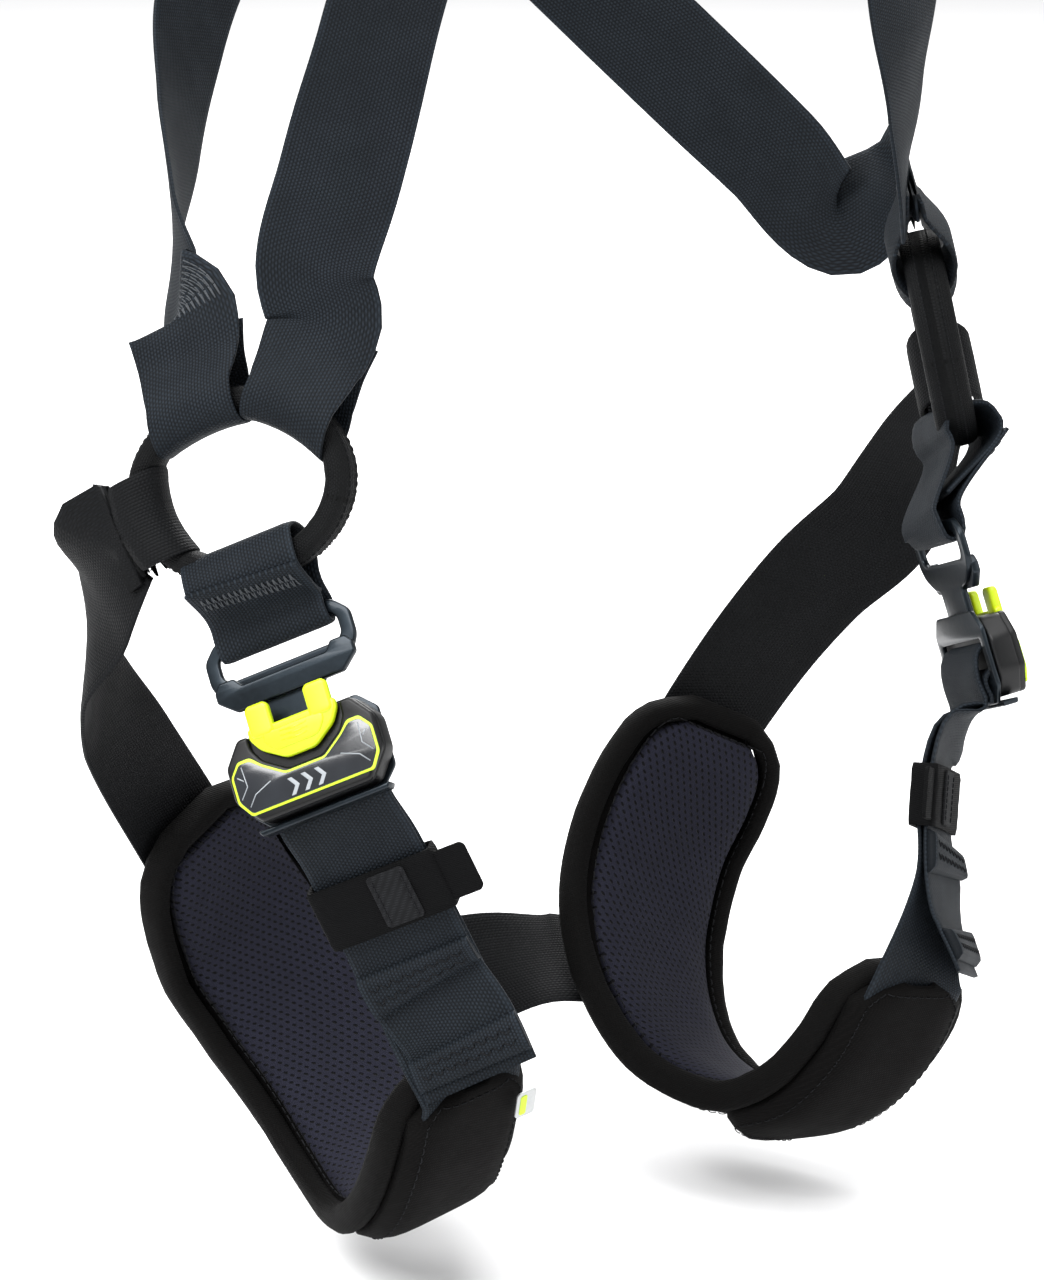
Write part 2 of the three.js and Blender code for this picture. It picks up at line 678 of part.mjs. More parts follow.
// The plastic housing: hollow behind, open below for the webbing and above for the male plate,
// with a recess in front for the release slider and a shallow pocket for the label.
function housing() {
  const { plateThickness, coverDepth, ceiling, recessFloor, coverTop, coverBottom } = BUCKLE;
  const z0 = plateThickness + 0.3;
  const shell = slab(coverOutline(0.8), z0, coverDepth);
  const hollow = block(WEBBING.width + 3.6, 24.5, ceiling - z0 + 1, 0, -5, (ceiling + z0 - 1) / 2);
  const throat = block(27.5, 14, 4.4, 0, coverTop - 3, FRAME_MIDDLE);
  const recess = slab(sliderOutline(0.5, SLIDER.travel + 0.4, 10), recessFloor, coverDepth + 1);
  const sill = block(46, 3, coverDepth, 0, coverBottom, -1.4);
  return carve(shell, [], [hollow, throat, recess, sill]);
}

// The slider's outline, wider by side, lower by the given travel and taller by above.
function sliderOutline(side, travel, above) {
  return [
    [-6 - side, 3 - travel], [6 + side, 3 - travel], [15 + side, 9 - travel],
    [18 + side, 14 - travel], [18 + side, 18 + above], [-18 - side, 18 + above],
    [-18 - side, 14 - travel], [-15 - side, 9 - travel],
  ];
}

// The release slider: a six-sided thumb plate with two ears that reach up to the male plate.
function releaseSlider() {
  const { recessFloor, coverDepth } = BUCKLE;
  const z0 = recessFloor + 0.35;
  const body = slab(sliderOutline(0, 0, 0), z0, coverDepth + 0.8);
  const top = coverDepth + SLIDER.earRise;
  const { earWidth, earHeight, earY } = SLIDER;
  const ears = [-12, 12].map((x) => block(earWidth, earHeight, top - z0, x, earY, (top + z0) / 2));
  const grip = [8, 11, 14].map((y) => block(18, 1, 1, 0, y, coverDepth + 1));
  return carve(body, ears, grip);
}

function labelPanel() {
  const { coverDepth } = BUCKLE;
  const outline = [
    [-25, -13], [25, -13], [29, -7], [29, 3], [25, 8], [20, 8], [16, 4], [8, -1.5],
    [-8, -1.5], [-16, 4], [-20, 8], [-25, 8], [-29, 3], [-29, -7],
  ];
  return slab(outline, coverDepth + 0.3, coverDepth + 1.1);
}

function adjusterBar() {
  const { adjusterY, adjusterN, adjusterRadius } = BUCKLE;
  const length = WEBBING.width + 3;
  return new THREE.CylinderGeometry(adjusterRadius, adjusterRadius, length, 12)
    .rotateZ(Math.PI / 2).translate(0, adjusterY, adjusterN);
}

function addLegBuckle(parent, name) {
  const group = placedGroup(parent, legBuckleFrame(name));
  add(group, `${name}_buckle_frame`, malePlate(), darkMetalMaterial);
  add(group, `${name}_buckle_base`, basePlate(), darkMetalMaterial);
  add(group, `${name}_buckle_housing`, housing(), plasticMaterial);
  add(group, `${name}_release_slider`, releaseSlider(), limeMaterial);
  add(group, `${name}_buckle_label`, labelPanel(), labelMaterial);
  add(group, `${name}_adjuster_bar`, adjusterBar(), steelMaterial);
}

// ---------------------------------------------------------------- dorsal plate and ring

const PIN = { y: 16, out: 12, radius: 3.2, lug: 9 };

// The dorsal plate's frame: y up and z away from the back.
const dorsalFrame = frameAt(vec(0, DORSAL.y + 5, DORSAL.z), vec(0, 0, 1), vec(0, 1, 0));

function pinHole(radius, length) {
  return new THREE.CylinderGeometry(radius, radius, length, 16)
    .rotateZ(Math.PI / 2).translate(0, PIN.y, PIN.out);
}

function dorsalPlate() {
  const { width, height, thickness } = DORSAL;
  const plate = slab(chamfered(width, -height / 2, height / 2, 16), 0, thickness);
  const across = D_RING.width / 2 + GAP + PIN.lug / 2;
  const rise = PIN.out + 5;
  const lugs = [-1, 1].map((s) => block(PIN.lug - GAP, 16, rise, s * across, PIN.y, rise / 2 + 1));
  return carve(plate, lugs, [pinHole(PIN.radius + 0.35, width)]);
}

function dorsalPin() {
  return pinHole(PIN.radius, D_RING.width + 2 * PIN.lug);
}

function dorsalRing() {
  const { width, height, hole, holeHeight, thickness } = D_RING;
  const half = width / 2;
  const arc = (radius, y, steps) => Array.from({ length: steps + 1 }, (_, i) => {
    const a = Math.PI + (Math.PI * i) / steps;
    return [radius * Math.cos(a), y + radius * Math.sin(a)];
  });
  const drop = PIN.y - height + half;
  const outline = [...arc(half, drop, 14), [half, PIN.y], [-half, PIN.y]];
  const holeTop = PIN.y - 8;
  const bow = arc(hole / 2, holeTop - holeHeight + hole / 2, 12);
  const eye = [...bow, [hole / 2, holeTop], [-hole / 2, holeTop]].reverse();
  const ring = slab(outline, PIN.out - thickness / 2, PIN.out + thickness / 2, [eye]);
  const barrel = pinHole(PIN.radius + 3, width);
  return carve(ring, [barrel], [pinHole(PIN.radius + 0.4, width + 2)]);
}

// ---------------------------------------------------------------- chest strap

const CHEST_BUCKLE = { y: -103, width: 30, height: 30, depth: 11, wall: 2.4 };

// One half of the chest strap: a loop round the shoulder strap and a run to the buckle.
function chestStrap(side, end) {
  const { width, thickness } = CHEST_WEBBING;
  const chest = CHEST_ROUTE.map((row) => routeStation(side, row, WEBBING.width));
  const here = chest[3].at.clone().lerp(chest[4].at, (CHEST_Z - 320) / 65);
  const face = chest[3].face.clone().setComponent(2, 0).normalize();
  const frame = frameAt(here, vec(0, 0, 1), face);
  const at = (a, n, faceA, faceN) => station(
    place(frame, side * a, 0, n), turn(frame, side * faceA, 0, faceN), width);
  const reach = WEBBING.width / 2 + 5;
  const off = thickness / 2 + 7.8;
  return ribbon([
    station(vec(side * end, CHEST_BUCKLE.y, CHEST_Z), vec(0, -1, 0), width),
    station(vec(side * (end + 14), CHEST_BUCKLE.y + 0.5, CHEST_Z), vec(0, -1, 0), width),
    at(-34, off, 0, 1), at(-12, off, 0, 1), at(14, off, 0, 1), at(reach - 2, off - 1, 0.6, 1),
    at(reach, 0, 1, 0), at(reach - 2, 1 - off, 0.6, -1), at(14, -off, 0, -1),
    at(-10, -off, 0, -1), at(-28, -off, -0.3, -1), at(-35, off - 5.8, -0.9, -1),
    at(-41, off - 4, 0, -1), at(-45, off - 3.7, 0, -1),
  ], thickness, 14);
}

function chestSocket() {
  const { width, height, depth, wall } = CHEST_BUCKLE;
  const body = slab(chamfered(width, -height / 2, height / 2, 4), -depth / 2, depth / 2);
  const mouth = block(width, height - 2 * wall, 4.6, -wall - 4, 0, 0);
  const slot = block(8, CHEST_WEBBING.width + 1, 3, width / 2 - 1, 0, 0);
  const well = block(9, 13, depth, 0, 0, depth / 2 - 1);
  return carve(body, [], [mouth, slot, well]);
}

function chestTongue() {
  const { width, height, wall, depth } = CHEST_BUCKLE;
  const prong = slab(chamfered(20, 4.4 - height / 2, height / 2 - 4.4, 3), -1.9, 1.9);
  prong.translate(-6.6, 0, 0);
  const grip = slab(chamfered(14, -height / 2, height / 2, 3), -depth / 2 + 1, depth / 2 - 1);
  grip.translate(-width / 2 - 7.6, 0, 0);
  const slot = block(8, CHEST_WEBBING.width + 1, 3, -width / 2 - 14, 0, 0);
  const notch = block(10, 13.6, 3.6, wall - 2.4, 0, 1.6);
  return carve(grip, [prong], [slot, notch]);
}

function chestButton() {
  const { depth } = CHEST_BUCKLE;
  return new THREE.BoxGeometry(8.2, 12.2, depth / 2 - 1.2).translate(0, 0, depth / 4 + 1.9);
}

// ---------------------------------------------------------------- exported group

const harness = new THREE.Group();

for (const [name, hip] of Object.entries(HIP)) {
  const ringGroup = placedGroup(harness, ringFrame(hip));
  add(ringGroup, `${name}_hip_ring_cover`, hipRingCover(hip), sleeveMaterial);
  add(ringGroup, `${name}_hip_ring_core`, hipRingCore(hip), steelMaterial);
  add(harness, `${name}_rear_strap`, rearStrap(hip), webbingMaterial);
  add(harness, `${name}_hip_link`, hipLink(hip, legBuckleFrame(name)), webbingMaterial);
  addLegBuckle(harness, name);
  add(harness, `${name}_front_strap`, frontStrap(hip.side, name, legBuckleFrame(name)), webbingMaterial);
  add(harness, `${name}_tail_fold_upper`, tailFold(hip.side, name, TAIL_FOLDS.upper), webbingMaterial);
  add(harness, `${name}_tail_fold_lower`, tailFold(hip.side, name, TAIL_FOLDS.lower), webbingMaterial);
  const keeperGroup = placedGroup(harness, keeperFrame(hip.side, name));
  add(keeperGroup, `${name}_keeper`, keeperBand(hip.side), elasticMaterial);
  add(harness, `${name}_pad_lining`, padLayer(hip.side, PAD_LAYERS.lining, 12), meshLiningMaterial);
  add(harness, `${name}_pad_foam`, padLayer(hip.side, PAD_LAYERS.foam, 3), foamMaterial);
  add(harness, `${name}_pad_shell`, padLayer(hip.side, PAD_LAYERS.shell), shellMaterial);
  add(harness, `${name}_pad_pocket`, padPocket(hip.side), shellMaterial);
}
add(harness, 'left_shoulder_strap', shoulderStrap('left', 'right', 2.1), webbingMaterial);
add(harness, 'right_shoulder_strap', shoulderStrap('right', 'left', -2.1), webbingMaterial);
add(harness, 'bridge_strap', bridgeStrap(), webbingMaterial);

const dorsal = placedGroup(harness, dorsalFrame);
add(dorsal, 'dorsal_plate', dorsalPlate(), plasticMaterial);
add(dorsal, 'dorsal_pin', dorsalPin(), steelMaterial);
add(dorsal, 'dorsal_ring', dorsalRing(), darkMetalMaterial);

add(harness, 'left_chest_strap', chestStrap(1, 13), webbingMaterial);
add(harness, 'right_chest_strap', chestStrap(-1, 27), webbingMaterial);
const chest = placedGroup(harness, frameAt(vec(0, CHEST_BUCKLE.y, CHEST_Z), vec(0, 0, 1), vec(0, -1, 0)));
add(chest, 'chest_buckle_socket', chestSocket(), plasticMaterial);
add(chest, 'chest_buckle_tongue', chestTongue(), plasticMaterial);
add(chest, 'chest_release_button', chestButton(), limeMaterial);

export default harness;
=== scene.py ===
"""A full body tree climbing harness in its worn shape: webbing, hip rings, leg buckles, padded leg
loops, back plate and chest strap. Lengths below are in millimetres and are turned into metres when
a mesh is made. +X is the wearer's left, -Y the wearer's front and +Z up."""
import bisect
import math
import bmesh
import bpy
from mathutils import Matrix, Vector, noise


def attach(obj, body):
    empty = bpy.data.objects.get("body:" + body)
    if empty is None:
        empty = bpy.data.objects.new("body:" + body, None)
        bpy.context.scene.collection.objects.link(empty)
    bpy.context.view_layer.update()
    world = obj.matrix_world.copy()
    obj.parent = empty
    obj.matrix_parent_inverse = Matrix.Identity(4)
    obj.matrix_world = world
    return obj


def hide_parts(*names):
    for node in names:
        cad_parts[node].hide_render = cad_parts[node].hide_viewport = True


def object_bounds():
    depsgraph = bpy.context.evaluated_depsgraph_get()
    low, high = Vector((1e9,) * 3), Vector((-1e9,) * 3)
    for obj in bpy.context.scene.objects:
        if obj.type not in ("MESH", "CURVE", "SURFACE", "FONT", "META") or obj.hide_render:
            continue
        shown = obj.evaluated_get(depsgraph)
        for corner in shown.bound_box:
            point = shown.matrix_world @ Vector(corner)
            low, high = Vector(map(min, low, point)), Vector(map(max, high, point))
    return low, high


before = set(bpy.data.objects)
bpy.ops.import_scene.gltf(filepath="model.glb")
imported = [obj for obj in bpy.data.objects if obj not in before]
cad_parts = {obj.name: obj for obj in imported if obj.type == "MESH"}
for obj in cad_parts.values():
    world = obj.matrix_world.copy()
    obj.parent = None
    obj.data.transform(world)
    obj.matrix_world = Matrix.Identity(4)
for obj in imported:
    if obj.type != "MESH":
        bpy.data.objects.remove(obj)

AT_LOAD = [list(v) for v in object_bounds()]
SIDES = {"left": 1, "right": -1}
WIDTH, THICKNESS = 45.0, 2.0  # of the main webbing
CHEST_WIDTH = 25.0
SEAM_EDGE = 0.84  # how far across a strap a sewn seam reaches


# ------------------------------------------------------------------ vectors, frames, curves

def vec(x, y, z):
    return Vector((x, y, z))


def on(side, out, back, up):
    return vec(side * out, back, up)


class Frame:
    """A place with its own directions: x across, y up along the piece, z facing out."""

    def __init__(self, origin, x, y, z):
        self.origin, self.x, self.y, self.z = origin, x, y, z

    def place(self, a, b, c):
        return self.origin + self.x * a + self.y * b + self.z * c

    def turn(self, a, b, c):
        return (self.x * a + self.y * b + self.z * c).normalized()


def frame_at(origin, up, face):
    z = face.normalized()
    x = up.cross(z).normalized()
    return Frame(origin, x, z.cross(x), z)


def catmull(points, t, centripetal):
    """A point of the curve through the points; t runs from 0 to 1 over all of them."""
    count = len(points)
    p = (count - 1) * t
    i = min(int(math.floor(p)), count - 2)
    w = p - i
    p1, p2 = points[i], points[i + 1]
    p0 = points[i - 1] if i > 0 else p1 * 2 - p2
    p3 = points[i + 2] if i + 2 < count else p2 * 2 - p1
    if centripetal:
        d1 = max((p1 - p2).length_squared ** 0.25, 1e-4)
        d0 = (p0 - p1).length_squared ** 0.25 or d1
        d2 = (p2 - p3).length_squared ** 0.25 or d1
        t1 = ((p1 - p0) / d0 - (p2 - p0) / (d0 + d1) + (p2 - p1) / d1) * d1
        t2 = ((p2 - p1) / d1 - (p3 - p1) / (d1 + d2) + (p3 - p2) / d2) * d1
    else:
        t1, t2 = (p2 - p0) * 0.3, (p3 - p1) * 0.3
    return p1 + t1 * w + (p2 * 3 - p1 * 3 - t1 * 2 - t2) * w * w + (p1 * 2 - p2 * 2 + t1 + t2) * w ** 3


class Station:
    """A stop on a ribbon's route: its centre, the way its outer face looks, and its width."""

    def __init__(self, at, face, width, slant=vec(0, 0, 0), bow=vec(0, 0, 0), side=vec(0, 0, 0)):
        self.at, self.face, self.width = at, face.normalized(), width
        self.slant, self.bow, self.side = slant, bow, side

    def moved(self, offset, turned=False):
        return Station(self.at + offset, -self.face if turned else self.face.copy(), self.width)


class Strip:
    """A ribbon's route sampled closely, so that a piece can be laid at any length along it."""

    def __init__(self, stations, step=4.0):
        line = [s.at for s in stations]
        faces = [s.face for s in stations]
        spans = len(stations) - 1
        self.rows = []
        self.lengths = []
        run = 0.0
        last = None
        for i in range(spans):
            a, b = stations[i], stations[i + 1]
            cells = max(2, math.ceil((a.at - b.at).length / step))
            for k in range(cells + (1 if i == spans - 1 else 0)):
                f = k / cells
                t = (i + f) / spans
                at = catmull(line, t, True)
                tangent = (catmull(line, min(1, t + 1e-4), True)
                           - catmull(line, max(0, t - 1e-4), True)).normalized()
                across = tangent.cross(catmull(faces, t, False)).normalized()
                sign = across.dot(a.side + b.side)
                sign = (sign > 0) - (sign < 0)
                face = across.cross(tangent).normalized()
                slant = a.slant.lerp(b.slant, f) * sign
                if last is not None:
                    run += (at - last).length
                last = at
                self.rows.append((at, across, face, a.width + (b.width - a.width) * f, slant,
                                  a.bow.lerp(b.bow, f)))
                self.lengths.append(run)
        self.length = run

    def row(self, v):
        v = min(max(v, 0.0), self.length)
        i = min(max(bisect.bisect_right(self.lengths, v) - 1, 0), len(self.rows) - 2)
        gap = self.lengths[i + 1] - self.lengths[i] or 1
        f = (v - self.lengths[i]) / gap
        a, b = self.rows[i], self.rows[i + 1]
        mixed = [a[k].lerp(b[k], f) for k in (0, 1, 2)]
        return (mixed[0], mixed[1].normalized(), mixed[2].normalized(), a[3] + (b[3] - a[3]) * f,
                a[4].lerp(b[4], f), a[5].lerp(b[5], f))

    def point(self, v, s, h):
        """Length v from the start, s from -1 to 1 across, h above the centre sheet."""
        at, across, face, width, slant, bow = self.row(v)
        return at + across * (s * width / 2) + slant * s + bow * s * s + face * h

    def width(self, v):
        return self.row(v)[3]


# ------------------------------------------------------------------ mesh making

def make_object(name, verts, faces, material, uvs=None):
    """verts in millimetres; uvs, one (u, v) in millimetres per vertex."""
    mesh = bpy.data.meshes.new(name)
    mesh.from_pydata([v * 0.001 for v in verts], [], faces)
    if uvs:
        layer = mesh.uv_layers.new(name="UVMap")
        for loop in mesh.loops:
            u, v = uvs[loop.vertex_index]
            layer.data[loop.index].uv = (u * 0.001, v * 0.001)
    for polygon in mesh.polygons:
        polygon.use_smooth = True
    mesh.materials.append(material)
    mesh.validate()
    obj = bpy.data.objects.new(name, mesh)
    bpy.context.scene.collection.objects.link(obj)
    recalc(obj)
    return obj


def recalc(obj):
    bm = bmesh.new()
    bm.from_mesh(obj.data)
    bmesh.ops.recalc_face_normals(bm, faces=bm.faces)
    bm.to_mesh(obj.data)
    bm.free()


def loft(rings, uv_rings=None, closed=False):
    """Joins equal rings of points; returns verts, faces and uvs, with the ends capped."""
    count = len(rings[0])
    verts = [p for ring in rings for p in ring]
    uvs = [q for ring in uv_rings for q in ring] if uv_rings else None
    faces = []
    total = len(rings)
    for i in range(total if closed else total - 1):
        a, b = i * count, ((i + 1) % total) * count
        for k in range(count):
            m = (k + 1) % count
            faces.append((a + k, a + m, b + m, b + k))
    if not closed:
        for base in (0, (total - 1) * count):
            half = count // 2
            for k in range(half - 1):
                faces.append((base + k, base + k + 1, base + count - 2 - k, base + count - 1 - k))
    return verts, faces, uvs


RAILS = [-1, -0.985, -0.95, -0.86, -0.7, -0.45, -0.2, 0, 0.2, 0.45, 0.7, 0.86, 0.95, 0.985, 1]


def sway(v, seed, size):
    return size * noise.noise(Vector((v * 0.028, seed, 0.3)))


def strap(name, stations, body, material, replaces=(), seed=0.0, step=4.0, waver=0.7):
    """A length of webbing along a route: woven edges a little thinner than the middle, and the
    small unevenness that a used strap has. Returns its strip."""
    strip = Strip(stations, step)
    rings, coords = [], []
    for i, v in enumerate(strip.lengths):
        at, across, face, width, slant, bow = strip.rows[i]
        fade = min(1.0, v / 25.0, (strip.length - v) / 25.0)
        lift = sway(v, seed, waver) * fade

        def rail(s, top):
            edge = 1 - 0.45 * max(0.0, (abs(s) - 0.93) / 0.07)
            curl = 0.35 * sway(v, seed + 7 * s, 1) * s * s * fade
            height = lift + curl + (THICKNESS / 2 * edge if top else -THICKNESS / 2 * edge)
            return at + across * (s * width / 2) + slant * s + bow * s * s + face * height

        rings.append([rail(s, True) for s in RAILS] + [rail(s, False) for s in reversed(RAILS)])
        coords.append([(s * width / 2, v) for s in RAILS]
                      + [(s * width / 2 + 0.4, v) for s in reversed(RAILS)])
    verts, faces, uvs = loft(rings, coords)
    finish_piece(make_object(name, verts, faces, material, uvs), body, replaces)
    return strip


def finish_piece(obj, body, replaces=()):
    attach(obj, body)
    if replaces:
        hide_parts(*replaces)


def tube(points, radius, sides=6, flat=1.0, normals=None):
    """Verts and faces of a round bar along points, each end closed."""
    rings = []
    for i, p in enumerate(points):
        a = points[max(0, i - 1)]
        b = points[min(len(points) - 1, i + 1)]
        tangent = (b - a).normalized()
        guide = normals[i] if normals else (vec(0, 0, 1) if abs(tangent.z) < 0.9 else vec(1, 0, 0))
        x = guide.cross(tangent).normalized()
        y = tangent.cross(x).normalized()
        rings.append([p + x * (radius * math.cos(2 * math.pi * k / sides))
                      + y * (radius * flat * math.sin(2 * math.pi * k / sides))
                      for k in range(sides)])
    verts, faces, _ = loft(rings)
    return verts, faces


class Bundle:
    """Many small bodies gathered into one mesh, such as the stitches of a seam."""

    def __init__(self):
        self.verts, self.faces = [], []

    def add(self, verts, faces):
        base = len(self.verts)
        self.verts += verts
        self.faces += [tuple(base + i for i in f) for f in faces]

    def make(self, name, body, material):
        obj = make_object(name, self.verts, self.faces, material)
        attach(obj, body)
        return obj


def stitches(bundle, surface, path, length=2.6, gap=0.9, radius=0.32, height=0.18):
    """Sews along a path of (v, s) stops over a surface(v, s, h): one small bar per stitch."""
    points = [surface(v, s, height) for v, s in path]
    for i in range(len(points) - 1):
        span = (points[i + 1] - points[i]).length
        if span < 1e-3:
            continue
        count = max(1, round(span / (length + gap)))
        for k in range(count):
            f0 = (k + 0.5 * gap / (length + gap)) / count
            f1 = (k + 1 - 0.5 * gap / (length + gap)) / count
            (v0, s0), (v1, s1) = path[i], path[i + 1]
            stops = [(f0, -0.25), (f0 + (f1 - f0) * 0.2, 0.1), ((f0 + f1) / 2, 0.16),
                     (f1 - (f1 - f0) * 0.2, 0.1), (f1, -0.25)]
            line = [surface(v0 + (v1 - v0) * f, s0 + (s1 - s0) * f, height + d) for f, d in stops]
            bundle.add(*tube(line, radius, 5, 0.7))


def zigzag(strip, start, end, rows, turns, side=1):
    """A sewn patch: rows of zigzag across the strap between two lengths along it."""
    bundle = Bundle()
    surface = lambda v, s, h: strip.point(v, s, side * (THICKNESS / 2 + h))
    for r in range(rows):
        base = start + (end - start) * (r + 0.5) / rows
        path = []
        for k in range(turns + 1):
            s = -SEAM_EDGE + 2 * SEAM_EDGE * k / turns
            path.append((base + (1.5 if k % 2 else -1.5) * (end - start) / rows / 3.2, s))
        stitches(bundle, surface, path, 3.4, 0.35, 0.36, 0.12)
    return bundle


def rounded(outline, radius, steps=4):
    """The outline with every corner turned into a small arc."""
    out = []
    count = len(outline)
    for i, (x, y) in enumerate(outline):
        p = Vector((x, y))
        a = Vector(outline[i - 1]) - p
        b = Vector(outline[(i + 1) % count]) - p
        r = min(radius, a.length * 0.42, b.length * 0.42)
        start, end = p + a.normalized() * r, p + b.normalized() * r
        for k in range(steps + 1):
            f = k / steps
            q = start.lerp(p, f).lerp(p.lerp(end, f), f)
            out.append((q.x, q.y))
    return out


def plate(name, place, outline, z0, z1, body, material, bevel=0.5, corner=1.2, steps=3, holes=(),
          replaces=()):
    """A flat piece with rounded edges, from outlines in its frame's x and y, between two heights."""
    curve = bpy.data.curves.new(name, "CURVE")
    curve.dimensions = "2D"
    curve.fill_mode = "BOTH"
    for ring in [outline, *holes]:
        pts = rounded(ring, corner)
        spline = curve.splines.new("POLY")
        spline.points.add(len(pts) - 1)
        for point, (x, y) in zip(spline.points, pts):
            point.co = (x, y, 0, 1)
        spline.use_cyclic_u = True
    curve.offset = -bevel
    curve.extrude = (z1 - z0) / 2 - bevel
    curve.bevel_depth = bevel
    curve.bevel_resolution = steps
    holder = bpy.data.objects.new(name + "_curve", curve)
    bpy.context.scene.collection.objects.link(holder)
    graph = bpy.context.evaluated_depsgraph_get()
    mesh = bpy.data.meshes.new_from_object(holder.evaluated_get(graph))
    bpy.data.objects.remove(holder)
    middle = (z0 + z1) / 2
    for v in mesh.vertices:
        v.co = place.place(v.co.x, v.co.y, v.co.z + middle) * 0.001
    mesh.materials.clear()
    mesh.materials.append(material)
    obj = bpy.data.objects.new(name, mesh)
    bpy.context.scene.collection.objects.link(obj)
    weld(obj)
    finish_piece(obj, body, replaces)
    return obj


def weld(obj):
    bm = bmesh.new()
    bm.from_mesh(obj.data)
    bmesh.ops.remove_doubles(bm, verts=bm.verts, dist=0.00001)
    bmesh.ops.recalc_face_normals(bm, faces=bm.faces)
    for f in bm.faces:
        f.smooth = True
    for e in bm.edges:
        if len(e.link_faces) == 2 and e.calc_face_angle(0) > 0.6:
            e.smooth = False
    bm.to_mesh(obj.data)
    bm.free()


def mirrored(half):
    """A whole outline from its right half, which runs up from the bottom."""
    left = [(-x, y) for x, y in reversed(half)]
    return [left[-1], *half, *left[:-1]]


def chamfered(width, y0, y1, cut, x=0):
    """A rectangle with its corners cut off, moved sideways by x."""
    w = width / 2
    return [(a + x, b) for a, b in mirrored([(w - cut, y0), (w, y0 + cut), (w, y1 - cut), (w - cut, y1)])]


# ------------------------------------------------------------------ materials

class Shader:
    """Builds one procedural material."""

    def __init__(self, name, color, roughness, metallic=0.0, sheen=0.0, coat=0.0, specular=0.5):
        self.mat = bpy.data.materials.new(name)
        self.mat.use_nodes = True
        self.tree = self.mat.node_tree
        self.bsdf = next(n for n in self.tree.nodes if n.type == "BSDF_PRINCIPLED")
        self.set("Base Color", (*color, 1))
        self.set("Roughness", roughness)
        self.set("Metallic", metallic)
        self.set("Sheen Weight", sheen)
        self.set("Sheen Roughness", 0.5)
        self.set("Coat Weight", coat)
        self.set("Coat Roughness", 0.12)
        self.set("Specular IOR Level", specular)
        self.height = None
        self.mat.diffuse_color = (*color, 1)

    def set(self, name, value):
        self.bsdf.inputs[name].default_value = value

    def node(self, kind, **settings):
        n = self.tree.nodes.new(kind)
        for key, value in settings.items():
            setattr(n, key, value)
        return n

    def link(self, a, b):
        self.tree.links.new(a, b)

    def math(self, operation, a, b=None, c=None):
        n = self.node("ShaderNodeMath", operation=operation)
        for i, value in enumerate((a, b, c)):
            if value is None:
                continue
            if isinstance(value, (int, float)):
                n.inputs[i].default_value = value
            else:
                self.link(value, n.inputs[i])
        return n.outputs[0]

    def uv(self):
        """The piece's own u and v, in millimetres."""
        source = self.node("ShaderNodeUVMap", uv_map="UVMap")
        split = self.node("ShaderNodeSeparateXYZ")
        self.link(source.outputs[0], split.inputs[0])
        return (self.math("MULTIPLY", split.outputs[0], 1000.0),
                self.math("MULTIPLY", split.outputs[1], 1000.0))

    def place(self):
        """The piece's own x, y and z, in millimetres."""
        source = self.node("ShaderNodeTexCoord")
        split = self.node("ShaderNodeSeparateXYZ")
        self.link(source.outputs["Object"], split.inputs[0])
        return [self.math("MULTIPLY", split.outputs[i], 1000.0) for i in range(3)]

    def noise(self, scale, detail=3.0, roughness=0.6):
        source = self.node("ShaderNodeTexCoord")
        n = self.node("ShaderNodeTexNoise")
        n.inputs["Scale"].default_value = scale
        n.inputs["Detail"].default_value = detail
        n.inputs["Roughness"].default_value = roughness
        self.link(source.outputs["Object"], n.inputs["Vector"])
        return n.outputs["Fac"]

    def ramp(self, factor, dark, light, low=0.0, high=1.0):
        n = self.node("ShaderNodeValToRGB")
        n.color_ramp.elements[0].position = low
        n.color_ramp.elements[1].position = high
        n.color_ramp.elements[0].color = (*dark, 1)
        n.color_ramp.elements[1].color = (*light, 1)
        self.link(factor, n.inputs[0])
        return n.outputs[0]

    def color(self, output):
        self.link(output, self.bsdf.inputs["Base Color"])

    def mix(self, factor, a, b):
        n = self.node("ShaderNodeMix", data_type="RGBA")
        self.link(factor, n.inputs[0])
        for value, socket in ((a, n.inputs[6]), (b, n.inputs[7])):
            if isinstance(value, tuple):
                socket.default_value = (*value, 1)
            else:
                self.link(value, socket)
        return n.outputs[2]

    def spread(self, factor, low, high):
        """Maps 0 to 1 on to a range of roughness."""
        n = self.node("ShaderNodeMapRange")
        n.inputs[3].default_value = low
        n.inputs[4].default_value = high
        self.link(factor, n.inputs[0])
        self.link(n.outputs[0], self.bsdf.inputs["Roughness"])

    def bump(self, height, distance, strength=1.0):
        n = self.node("ShaderNodeBump")
        n.inputs["Strength"].default_value = strength
        n.inputs["Distance"].default_value = distance
        self.link(height, n.inputs["Height"])
        if self.height:
            self.link(self.height, n.inputs["Normal"])
        self.height = n.outputs[0]
        self.link(self.height, self.bsdf.inputs["Normal"])

    def wave(self, value, period, shift=0.0):
        """0 to 1 and back once every period of the value."""
        turned = self.math("MULTIPLY_ADD", value, 2 * math.pi / period, shift)
        return self.math("MULTIPLY_ADD", self.math("SINE", turned), 0.5, 0.5)


